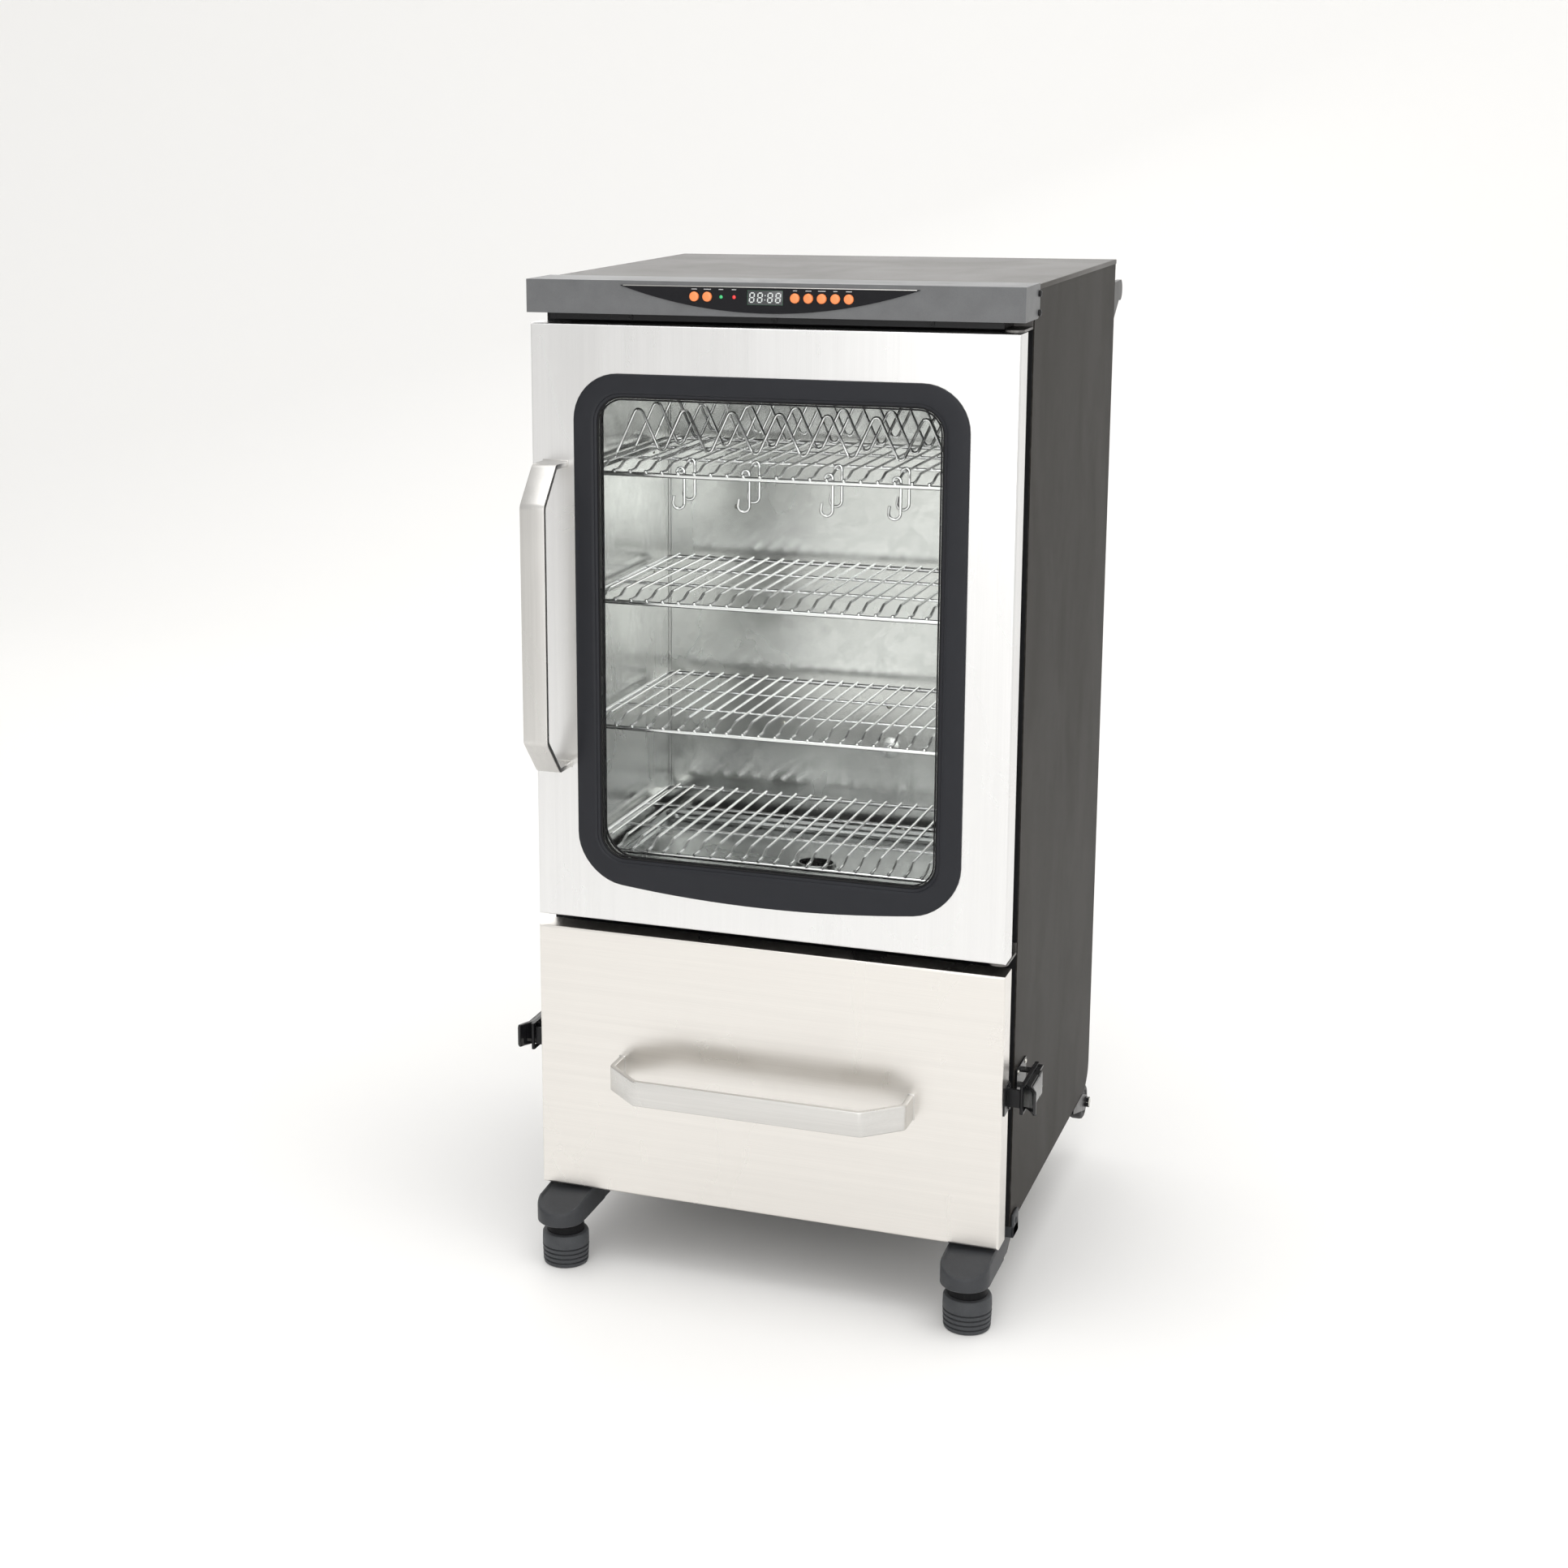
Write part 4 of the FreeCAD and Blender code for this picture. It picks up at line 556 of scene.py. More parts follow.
@dataclass(frozen=True)
class Finish:
    """An opaque surface finish.

    Attributes are the record's slot, colour and roughness, then how strongly each effect shows.
    """

    name: str
    slot: str
    colour: RGB
    roughness: float
    metallic: float = 0.0
    texture: Texture = Texture.GRAINED
    along: Triple = (10.0, 10.0, 10.0)
    scale: float = 900.0
    contrast: float = 0.08
    depth: float = 0.00002
    strength: float = 0.3
    wipes: float = 0.06
    dust: float = 0.0
    # The edge effect lightens edges towards a light grey: rubbed wear, and a painted highlight along the
    # edges.
    wear_and_highlight: float = 0.0
    wear_and_highlight_colour: RGB = (0.55, 0.55, 0.56)
    edge: float = 0.0006
    coat: float = 0.0
    coat_roughness: float = 0.08
    specular: float = 0.5
    glow: float = 0.0

    def material(self) -> bpy.types.Material:
        """The finish as a material, built on first use."""
        label = f"finish_{self.name}"
        if label in bpy.data.materials:
            return bpy.data.materials[label]
        made = bpy.data.materials.new(label)
        made.use_nodes = True
        made.node_tree.nodes.clear()
        graph = Graph(made.node_tree)
        shader = self.shader(graph)
        graph.add("OutputMaterial", {"Surface": shader.outputs[0]})
        return made

    def shader(self, graph: Graph) -> bpy.types.Node:
        """The surface shader with its effects wired in.

        Args:
            graph: Where to build it.

        Returns:
            The shader node.
        """
        surface = self.effect(graph, self.texture.value)
        if self.texture is Texture.BRUSHED:
            surface.inputs["Along"].default_value = self.along
        else:
            surface.inputs["Scale"].default_value = self.scale
        tone = graph.ranged(surface.outputs["Tone"], 1 - self.contrast, 1 + self.contrast)
        shaded = graph.add("VectorMath", {0: self.colour, "Scale": tone}, operation="SCALE").outputs[0]
        # Edges lightened through the edge mask: rubbed wear, and a painted highlight along the edges.
        worn_and_lit = self.effect(graph, Effect.WEAR_AND_HIGHLIGHT)
        worn_and_lit.inputs["Radius"].default_value = self.edge
        worn_and_lit.inputs["Amount"].default_value = self.wear_and_highlight
        shaded = self.mix(graph, worn_and_lit.outputs["Mask"], shaded, self.wear_and_highlight_colour)
        if self.dust > 0:
            lying = self.effect(graph, Effect.DUST)
            lying.inputs["Amount"].default_value = self.dust
            shaded = self.mix(graph, lying.outputs["Mask"], shaded, (0.5, 0.48, 0.45))
        smears = self.effect(graph, Effect.WIPES)
        rough = graph.ranged(smears.outputs["Tone"], max(self.roughness - self.wipes, 0.02),
                             self.roughness + self.wipes)
        bump = graph.add("Bump", {"Strength": self.strength, "Distance": self.depth,
                                  "Height": surface.outputs["Height"], "Normal": worn_and_lit.outputs["Normal"]})
        values = {"Base Color": shaded, "Roughness": rough, "Metallic": self.metallic,
                  "Normal": bump.outputs[0],
                  "Coat Weight": self.coat, "Coat Roughness": self.coat_roughness,
                  "Specular IOR Level": self.specular}
        if self.glow > 0:
            values |= {"Emission Color": (*self.colour, 1.0), "Emission Strength": self.glow}
        return graph.add("BsdfPrincipled", values)

    @staticmethod
    def effect(graph: Graph, effect: Effect) -> bpy.types.Node:
        """An effect group placed in the material."""
        return graph.add("Group", node_tree=effect_group(effect))

    @staticmethod
    def mix(graph: Graph, mask: bpy.types.NodeSocket, below: bpy.types.NodeSocket,
            above: RGB) -> bpy.types.NodeSocket:
        """A colour laid over another through a mask."""
        node = graph.add("Mix", {0: mask, 6: below, 7: (*above, 1.0)}, data_type="RGBA")
        return node.outputs[2]


@dataclass(frozen=True)
class Glass:
    """Clear or frosted glass that lets light through to what is behind it."""

    name: str
    slot: str
    colour: RGB
    roughness: float = 0.0
    wipes: float = 0.03
    bend: float = 1.2

    def material(self) -> bpy.types.Material:
        """The finish as a material, built on first use."""
        label = f"finish_{self.name}"
        if label in bpy.data.materials:
            return bpy.data.materials[label]
        made = bpy.data.materials.new(label)
        made.use_nodes = True
        made.node_tree.nodes.clear()
        graph = Graph(made.node_tree)
        smears = Finish.effect(graph, Effect.WIPES)
        rough = graph.ranged(smears.outputs["Tone"], self.roughness, self.roughness + self.wipes)
        pane = graph.add("BsdfPrincipled", {"Base Color": (*self.colour, 1.0), "Roughness": rough,
                                            "IOR": self.bend,
                                            "Metallic": 0.0, "Transmission Weight": 1.0})
        clear = graph.add("BsdfTransparent", {"Color": (*self.colour, 1.0)})
        rays = graph.add("LightPath")
        soft = graph.math("MAXIMUM", rays.outputs["Is Shadow Ray"], rays.outputs["Is Diffuse Ray"])
        indirect = graph.math("MAXIMUM", soft, rays.outputs["Is Glossy Ray"])
        shown = graph.add("MixShader", {0: indirect, 1: pane.outputs[0], 2: clear.outputs[0]})
        graph.add("OutputMaterial", {"Surface": shown.outputs[0]})
        return made


AnyFinish = Finish | Glass

# Sides, back and roof are one paint: sides and back take a darker copy as painted shade, the roof a lighter
# copy as painted light.
SHADED_PANEL_PAINT = Finish("panel_paint_painted_shade", "cabinet_paint", (0.024, 0.021, 0.018), 0.50, scale=1500.0, contrast=0.18,
                     depth=0.00012, strength=0.5, wipes=0.025, dust=0.03, wear_and_highlight=0.25, specular=0.08)
LIT_ROOF_PAINT = Finish("roof_paint_painted_light", "cabinet_paint", (0.044, 0.039, 0.034), 0.42, scale=1500.0, contrast=0.18,
                    depth=0.00012, strength=0.5, wipes=0.025, dust=0.04, wear_and_highlight=0.25, specular=0.26)
FRAME_PAINT = Finish("frame_paint", "frame_paint", (0.010, 0.010, 0.011), 0.50, scale=1300.0, wear_and_highlight=0.1,
                     specular=0.12)
DOOR_STEEL = Finish("door_steel", "brushed_front", (0.78, 0.778, 0.775), 0.27, 1.0, Texture.BRUSHED,
                    along=(1500.0, 400.0, 9.0), contrast=0.035, depth=0.00001, strength=0.03, wipes=0.04)
# Same brushed steel as the door, given a darker, warmer colour: a painted reflection tone.
DRAWER_STEEL_PAINTED_REFLECTION = Finish("drawer_steel_painted_reflection", "brushed_front", (0.765, 0.74, 0.705), 0.30, 1.0, Texture.BRUSHED,
                      along=(9.0, 400.0, 1500.0), contrast=0.035, depth=0.00001, strength=0.03, wipes=0.04)
UPRIGHT_STRAP = Finish("upright_strap", "handle_steel", (0.62, 0.61, 0.59), 0.32, 1.0, Texture.BRUSHED,
                       along=(1500.0, 1500.0, 12.0), contrast=0.06, depth=0.00001, strength=0.04)
LEVEL_STRAP = Finish("level_strap", "handle_steel", (0.64, 0.63, 0.61), 0.32, 1.0, Texture.BRUSHED,
                     along=(12.0, 300.0, 1500.0), contrast=0.06, depth=0.00001, strength=0.04)
CHAMBER_ZINC = Finish("chamber_zinc", "chamber_steel", (0.70, 0.705, 0.695), 0.24, 1.0, Texture.SPANGLED,
                      scale=85.0, contrast=0.09, depth=0.0002, strength=0.10, wipes=0.08)
PAN_STEEL = Finish("pan_steel", "chamber_steel", (0.72, 0.73, 0.72), 0.28, 1.0, Texture.BRUSHED,
                   along=(30.0, 900.0, 1500.0), contrast=0.08, strength=0.2)
TRAY_STEEL = Finish("tray_steel", "tray_steel", (0.55, 0.56, 0.56), 0.24, 1.0, Texture.SPANGLED, scale=70.0,
                    contrast=0.12, depth=0.0002, strength=0.1)
WIRE_CHROME = Finish("wire_chrome", "wire_chrome", (0.88, 0.88, 0.89), 0.16, 1.0, scale=700.0, contrast=0.05,
                     depth=0.00001, strength=0.2, wipes=0.05, edge=0.0001)
ZINC_BOLT = Finish("zinc_bolt", "zinc", (0.66, 0.65, 0.60), 0.28, 1.0, scale=900.0, contrast=0.12, wear_and_highlight=0.2)
HOOD_PLASTIC = Finish("hood_plastic", "charcoal_plastic", (0.120, 0.123, 0.127), 0.47, scale=1500.0,
                      contrast=0.16, depth=0.00014, strength=0.6, dust=0.05, wear_and_highlight=0.22)
# Strong edge lightening on the legs paints the bright highlight along their edges as well as rubbed wear.
LEG_PLASTIC = Finish("leg_plastic", "charcoal_plastic", (0.036, 0.038, 0.042), 0.46, scale=1100.0,
                     contrast=0.18, depth=0.0002, strength=0.7, dust=0.02, wear_and_highlight=0.45, specular=0.32)
BLACK_PLASTIC = Finish("black_plastic", "black_plastic", (0.007, 0.007, 0.008), 0.30, scale=1000.0,
                       depth=0.00006, wear_and_highlight=0.12, specular=0.25)
LEVER_BLACK = Finish("lever_black", "black_plastic", (0.008, 0.008, 0.009), 0.17, scale=700.0, contrast=0.1,
                     depth=0.00002, strength=0.15, wear_and_highlight=0.2, specular=0.5)
GLOSS_BLACK = Finish("gloss_black", "gloss_black", (0.009, 0.009, 0.011), 0.12, scale=300.0, contrast=0.05,
                     depth=0.00001, strength=0.1, wipes=0.02, specular=0.2)
BEZEL_PAINT = Finish("bezel_paint", "bezel_paint", (0.014, 0.015, 0.019), 0.36, scale=1200.0, contrast=0.1,
                     depth=0.00003, strength=0.3, wipes=0.07, specular=0.25)
SEAL_RUBBER = Finish("seal_rubber", "seal_rubber", (0.012, 0.012, 0.013), 0.60, scale=800.0, dust=0.04,
                     specular=0.2)
PAD_RUBBER = Finish("pad_rubber", "pad_rubber", (0.040, 0.043, 0.048), 0.56, scale=900.0, contrast=0.2,
                    depth=0.0002, strength=0.5, dust=0.06)
# Near-black copy of the pad rubber for the collar under the leg: painted shade.
COLLAR_PAINTED_SHADE = Finish("collar_painted_shade", "pad_rubber", (0.006, 0.006, 0.007), 0.50, scale=900.0, specular=0.12)
HINGE_ZINC = Finish("hinge_zinc", "zinc", (0.16, 0.155, 0.15), 0.42, 1.0, scale=900.0, contrast=0.2, wear_and_highlight=0.3)
TYRE_RUBBER = Finish("tyre_rubber", "wheel_rubber", (0.020, 0.020, 0.021), 0.58, scale=900.0, dust=0.12)
KEY_ORANGE = Finish("key_orange", "key_orange", (0.92, 0.26, 0.075), 0.30, scale=600.0, contrast=0.06,
                    coat=0.4, coat_roughness=0.12)
MARK_WHITE = Finish("mark_white", "gloss_black", (0.78, 0.79, 0.80), 0.4, scale=900.0, contrast=0.05)
SEGMENT_GLOW = Finish("segment_glow", "board", (0.52, 0.55, 0.54), 0.35, scale=900.0, contrast=0.04,
                      glow=0.35)
DISPLAY_SMOKE = Finish("display_smoke", "gloss_black", (0.035, 0.038, 0.042), 0.16, scale=300.0, coat=0.5)
GREEN_LENS = Finish("green_lens", "lamp_lens", (0.03, 0.42, 0.14), 0.18, scale=500.0, coat=0.5, glow=0.25)
RED_LENS = Finish("red_lens", "lamp_lens", (0.72, 0.03, 0.03), 0.18, scale=500.0, coat=0.5, glow=0.45)
BOARD_GREEN = Finish("board_green", "board", (0.03, 0.15, 0.07), 0.40, scale=500.0)
HEATER_OXIDE = Finish("heater_oxide", "heater_steel", (0.14, 0.12, 0.11), 0.52, 1.0, scale=300.0,
                      contrast=0.3)
WOOL = Finish("wool", "wool", (0.60, 0.56, 0.42), 0.95, scale=220.0, contrast=0.3, depth=0.001, strength=0.8)
WINDOW = Glass("window_pane", "window", (0.985, 0.989, 0.985), 0.0, 0.0)
LAMP_GLASS = Glass("lamp_glass", "lamp_glass", (0.93, 0.93, 0.91), 0.35)


# ---------------------------------------------------------------- pieces
@dataclass(frozen=True)
class Box:
    """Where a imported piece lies."""

    low: Vector
    high: Vector

    @classmethod
    def of(cls, node: str) -> "Box":
        """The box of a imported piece."""
        return cls(*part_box(node))

    @property
    def centre(self) -> Vector:
        """Middle of the box."""
        return (self.low + self.high) / 2


class Workshop:
    """Turns shapes into finished pieces that ride on the model's bodies."""

    def __init__(self, packed: dict) -> None:
        """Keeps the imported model.

        Args:
            packed: What the frame loader gave.
        """
        self.nodes = packed["nodes"]
        self.count = 0

    def make(self, name: str, shape: Shape, finish: AnyFinish, body: str, replaces: Sequence[str] = (),
             crease: float = 32.0) -> bpy.types.Object:
        """Makes a piece from a shape.

        Args:
            name: Name of the piece.
            shape: Its points and faces.
            finish: What it is finished in.
            body: Body it rides on.
            replaces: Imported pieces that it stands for.
            crease: Edges sharper than this many degrees stay sharp.

        Returns:
            The new object.
        """
        mesh = bpy.data.meshes.new(name)
        mesh.from_pydata([tuple(p) for p in shape.points], [], shape.faces)
        mesh.validate()
        clean = bmesh.new()
        clean.from_mesh(mesh)
        bmesh.ops.remove_doubles(clean, verts=clean.verts, dist=2e-6)
        bmesh.ops.dissolve_degenerate(clean, edges=clean.edges, dist=1e-6)
        bmesh.ops.recalc_face_normals(clean, faces=clean.faces)
        clean.to_mesh(mesh)
        clean.free()
        mesh.polygons.foreach_set("use_smooth", [True] * len(mesh.polygons))
        mesh.set_sharp_from_angle(angle=math.radians(crease))
        mesh.materials.append(finish.material())
        piece = bpy.data.objects.new(name, mesh)
        bpy.context.scene.collection.objects.link(piece)
        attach(piece, body)
        if replaces:
            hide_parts(*replaces)
        self.count += 1
        log.info("piece %s on %s in %s", name, body, finish.name)
        return piece

    def dress(self, finish: AnyFinish, *nodes: str) -> None:
        """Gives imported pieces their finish.

        Args:
            finish: The finish.
            nodes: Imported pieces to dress.
        """
        for node in nodes:
            piece = self.nodes[node]
            piece.data.materials.clear()
            piece.data.materials.append(finish.material())
            log.info("dressed %s in %s", node, finish.name)

    @staticmethod
    def pair(name: str) -> tuple[str, str]:
        """Right and left names of a two-sided piece."""
        return f"{name}_right", f"{name}_left"


@dataclass
class Cabinet:
    """Outer panels with their fixings, seams and pressed ribs."""

    screw_inset: float = 14 * MM
    screw_rows: int = 6
    rib_width: float = 26 * MM
    hem: float = 5 * MM

    def build(self, shop: Workshop) -> None:
        """Dresses the panels and adds what is on them."""
        # Darker paint on the sides and back, lighter on the roof: painted shade and painted light on one
        # paint.
        shop.dress(SHADED_PANEL_PAINT, *shop.pair("side_panel"), "back_shell")
        shop.dress(LIT_ROOF_PAINT, "top_panel")
        shop.dress(FRAME_PAINT, "front_frame")
        shop.dress(WOOL, "insulation")
        self.build_back_fixings(shop)
        self.build_pressings(shop)
        self.build_seams(shop)

    def build_back_fixings(self, shop: Workshop) -> None:
        """Screws down both rear edges and through the roof flange."""
        back, roof = Box.of("back_shell"), Box.of("top_panel")
        span = back.high.z - back.low.z - 120 * MM
        heads = []
        for row in range(self.screw_rows):
            z = back.low.z + 80 * MM + span * row / (self.screw_rows - 1)
            heads += [screw_head((sign * (back.high.x - self.screw_inset), back.high.y, z), (0, 1, 0))
                      for sign in (1, -1)]
        heads += [screw_head((x, back.high.y, roof.high.z - 12 * MM), (0, 1, 0))
                  for x in (-160 * MM, 0.0, 160 * MM)]
        shop.make("back_screws", joined(heads), ZINC_BOLT, "cabinet")

    def build_pressings(self, shop: Workshop) -> None:
        """Two upright stiffening ribs pressed into the back."""
        back = Box.of("back_shell")
        low, high = back.low.z + 150 * MM, back.high.z - 200 * MM
        ribs = []
        for x in (-60 * MM, 40 * MM):
            rings = []
            for grow, out in ((0.0, -0.2), (-1.0, 0.6), (-3.0, 1.2), (-6.0, 1.6)):
                outline = rounded_rect(self.rib_width / 2 + grow * MM, (high - low) / 2 + grow * MM,
                                       self.rib_width / 2 + grow * MM - 0.05 * MM, 8)
                rings.append([Vector((x + u, back.high.y + out * MM, (low + high) / 2 + v)) for u,
                              v in outline])
            ribs.append(loft(rings))
        shop.make("back_pressings", joined(ribs), SHADED_PANEL_PAINT, "cabinet")

    def build_seams(self, shop: Workshop) -> None:
        """Folded hems along the roof's back edge and its two side edges."""
        roof, side = Box.of("top_panel"), Box.of("side_panel_right")
        half, top = roof.high.x, roof.high.z
        strips = [block((-half, roof.high.y - 0.2 * MM, top - 12 * MM), (half, roof.high.y + 1.0 * MM, top),
                        0.5 * MM)]
        for sign in (1, -1):
            lows = (min(sign * half, sign * (half + 0.9 * MM)), side.low.y + 16 * MM, top - self.hem)
            highs = (max(sign * half, sign * (half + 0.9 * MM)), roof.high.y, top)
            strips.append(block(lows, highs, 0.4 * MM))
        shop.make("roof_hems", joined(strips), LIT_ROOF_PAINT, "cabinet")


@dataclass
class Chamber:
    """Racks, hooks, rib stand, trays and fittings inside the cooking chamber."""

    ribs: int = 24
    wire: float = 1.6 * MM
    frame_wire: float = 2.6 * MM
    step_down: float = 8.5 * MM
    corner: float = 20 * MM
    rib_rows: int = 4
    waves: int = 8
    hook_ribs: tuple[int, ...] = (5, 9, 14, 18)
    hook_rows: tuple[float, ...] = (12 * MM, 54 * MM)

    def build(self, shop: Workshop) -> None:
        """Builds everything in the chamber."""
        shop.dress(CHAMBER_ZINC, "chamber_liner", "guide_rails")
        shop.dress(HEATER_OXIDE, "heating_element")
        shop.dress(WIRE_CHROME, "temperature_probe")
        shop.dress(LAMP_GLASS, "chamber_lamp")
        for number in range(1, 5):
            shop.make(f"wire_rack_{number}", self.rack(Box.of(f"rack_{number}")), WIRE_CHROME, "cabinet",
                      [f"rack_{number}"])
        shop.make("rib_stand", self.rib_stand(Box.of("rib_rack")), WIRE_CHROME, "cabinet", ["rib_rack"])
        shop.make("hooks", self.hooks(Box.of("rack_4")), WIRE_CHROME, "cabinet", ["meat_hooks"])
        shop.make("drip_pan", self.drip_pan(Box.of("drip_tray")), TRAY_STEEL, "cabinet", ["drip_tray"])
        self.build_liner_details(shop)

    def levels(self, box: Box) -> tuple[float, float]:
        """Heights of a rack's front bar and of its rear frame wire."""
        z = box.low.z + 2.5 * MM
        return z - 2.5 * MM, z + self.step_down - 5 * MM

    def rib_x(self, box: Box) -> list[float]:
        """X of each front-to-back wire."""
        half = box.high.x - 15.5 * MM
        return [-half + 2 * half * i / (self.ribs - 1) for i in range(self.ribs)]

    def rack(self, box: Box) -> Shape:
        """One rack: a frame whose sides rise from the front bar, cross wires and stepped ribs.

        Args:
            box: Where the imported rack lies.

        Returns:
            The rack.
        """
        r = self.frame_wire
        x, y0, y1 = box.high.x - r, box.low.y + r, box.high.y - r
        low, high = self.levels(box)
        run = y0 + 42 * MM
        loop = [(-x, y0, low), (x, y0, low), (x, run, high), (x, y1, high), (-x, y1, high), (-x, run, high)]
        wires = [tube(loop, r, self.corner, 12, closed=True, steps=8)]
        for share in (0.33, 0.68):
            y = y0 + (y1 - y0) * share
            wires.append(tube([(-x, y, high), (x, y, high)], self.wire * 1.1))
        over = high + r + self.wire * 0.4
        under = low + r + self.wire * 0.5
        for rib in self.rib_x(box):
            path = [(rib, y1 + 1 * MM, over), (rib, y0 + 38 * MM, over), (rib, y0 + 17 * MM, under),
                    (rib, y0 - 1.6 * MM, under)]
            wires.append(tube(path, self.wire, 14 * MM, 8, steps=4))
            wires.append(lathe([(0, -2.1 * MM), (1.2 * MM, -1.7 * MM), (2.0 * MM, -0.6 * MM),
                                (2.1 * MM, 0.4 * MM),
                                (1.2 * MM, 1.7 * MM), (0, 2.0 * MM)], (rib, y0 - 1.6 * MM, under),
                               (0, -1, 0), 12))
        return joined(wires)

    def rib_stand(self, box: Box) -> Shape:
        """Zigzag wires on two rods."""
        r, base = 1.7 * MM, box.low.z + 3.5 * MM
        half = box.high.x
        step = half / self.waves
        shapes = []
        for row in range(self.rib_rows):
            y = box.low.y + 2 * MM + (box.high.y - box.low.y - 4 * MM) * row / (self.rib_rows - 1)
            heights = (base + 1 * MM, box.high.z - 1 * MM)
            path = [(-half + step * i, y, heights[i % 2]) for i in range(2 * self.waves + 1)]
            shapes.append(tube(path, r, 5 * MM, 8, steps=4))
        for x in (-half + 2 * step, half - 2 * step):
            shapes.append(tube([(x, box.low.y - 4 * MM, base - 1.5 * MM),
                                (x, box.high.y + 4 * MM, base - 1.5 * MM)],
                               r * 1.15))
        return joined(shapes)

    def hooks(self, rack: Box) -> Shape:
        """S-shaped hooks over the ribs of the top rack."""
        low, high = self.levels(rack)
        places = self.rib_x(rack)
        shapes = []
        for back, level in zip(self.hook_rows, (low + 4 * MM, high + 3 * MM)):
            for rib in self.hook_ribs:
                shapes.append(self.hook(Vector((places[rib], rack.low.y + back, level))))
        return joined(shapes)

    @staticmethod
    def hook(spot: Vector) -> Shape:
        """One hook that hangs from a wire at a spot."""
        top, bottom, drop = 4.2 * MM, 6.5 * MM, 34 * MM
        line = [spot + Vector((top * math.cos(a), 0, top * math.sin(a)))
                for a in (math.pi * (1.1 - 1.1 * k / 10) for k in range(11))]
        middle = spot + Vector((top - bottom, 0, -drop))
        line += [middle + Vector((bottom * math.cos(a), 0, bottom * math.sin(a)))
                 for a in (-math.pi * 1.12 * k / 14 for k in range(15))]
        line.append(line[-1] + Vector((0.6 * MM, 0, 5 * MM)))
        return sweep(line, circle(1.7 * MM, 10))

    @staticmethod
    def drip_pan(box: Box) -> Shape:
        """Pressed pan with a rolled rim, a sloping floor and a raised drain neck."""
        size, z0, z1 = (box.high - box.low) / 2, box.low.z, box.high.z
        middle = box.centre
        floor = z0 + 1.2 * MM
        sections = [
            (size.x, size.y, 10.0, z1 - 3 * MM), (size.x, size.y, 10.0, z1 - 1 * MM),
            (size.x - 1 * MM, size.y - 1 * MM, 9.0, z1), (size.x - 3 * MM, size.y - 3 * MM, 8.0,
                                                          z1 - 0.6 * MM),
            (size.x - 6 * MM, size.y - 6 * MM, 10.0, floor + 3 * MM),
                    (size.x - 9 * MM, size.y - 9 * MM, 12.0, floor),
            (34 * MM, 34 * MM, 33.0, floor - 0.6 * MM), (24 * MM, 24 * MM, 23.9, floor),
            (22 * MM, 22 * MM, 21.9, z0 + 5 * MM), (20 * MM, 20 * MM, 19.9, z0 + 5 * MM),
            (20 * MM, 20 * MM, 19.9, z0), (size.x - 8 * MM, size.y - 8 * MM, 12.0, z0),
            (size.x - 4 * MM, size.y - 4 * MM, 9.0, z1 - 4 * MM)]
        rings = [[Vector((middle.x + u, middle.y + v, z)) for u, v in rounded_rect(w, h, r * MM, 8)]
                 for w, h, r, z in sections]
        return loft(rings, loop=True)

    def build_liner_details(self, shop: Workshop) -> None:
        """Rivets, corner seams, lamp ring and probe plate on the walls."""
        rails, back = Box.of("guide_rails"), Box.of("temperature_probe")
        wall, lamp = back.high.y, Box.of("chamber_lamp")
        rivets = []
        for number in range(1, 5):
            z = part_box(f"rack_{number}")[0].z - 7 * MM
            for sign in (1, -1):
                for y in (rails.low.y + 40 * MM, wall - 70 * MM):
                    rivets.append(self.rivet((sign * (rails.high.x - 1.5 * MM), y, z), (-sign, 0, 0)))
        for x, z in ((-90, 560), (40, 590), (150, 700), (-150, 820), (20, 905), (60, 440)):
            rivets.append(self.rivet((x * MM, wall, z * MM), (0, -1, 0)))
        shop.make("chamber_rivets", joined(rivets), ZINC_BOLT, "cabinet")
        seams = []
        for sign in (1, -1):
            x = sign * (rails.high.x - 0.3 * MM)
            seams.append(tube([(x, wall - 0.6 * MM, 0.13), (x, wall - 0.6 * MM, 1.05)], 1.6 * MM, sides=8))
        seams.append(tube([(-rails.high.x, wall - 0.4 * MM, 1.0545), (rails.high.x, wall - 0.4 * MM, 1.0545)],
                          1.6 * MM, sides=8))
        shop.make("chamber_seams", joined(seams), CHAMBER_ZINC, "cabinet")
        ring = [(28.5 * MM, 0), (28.5 * MM, 5 * MM), (27 * MM, 7.2 * MM), (25 * MM, 7.4 * MM),
                (24.4 * MM, 6 * MM)]
        shop.make("lamp_ring", lathe(ring, (lamp.centre.x, wall, lamp.centre.z), (0, -1, 0)), WIRE_CHROME,
                  "cabinet")
        plate = [(13 * MM, 0), (13 * MM, 0.8 * MM), (12 * MM, 1.4 * MM), (4 * MM, 1.6 * MM), (0, 1.6 * MM)]
        shop.make("probe_plate", lathe(plate, (back.centre.x, wall, back.centre.z), (0, -1, 0)), PAN_STEEL,
                  "cabinet")

    @staticmethod
    def rivet(spot: Sequence[float], axis: Sequence[float]) -> Shape:
        """Low domed rivet head."""
        dome = [(3.2 * MM, 0), (3.0 * MM, 0.5 * MM), (2.2 * MM, 1.0 * MM), (1.0 * MM, 1.3 * MM),
                (0, 1.35 * MM)]
        return lathe(dome, spot, axis, 16)


class Segment(Enum):
    """Bars of a seven-segment figure, as (x, y, upright) in units of the figure's size."""

    TOP = (0.0, 1.0, False)
    MIDDLE = (0.0, 0.0, False)
    BOTTOM = (0.0, -1.0, False)
    UPPER_LEFT = (-1.0, 0.5, True)
    UPPER_RIGHT = (1.0, 0.5, True)
    LOWER_LEFT = (-1.0, -0.5, True)
    LOWER_RIGHT = (1.0, -0.5, True)


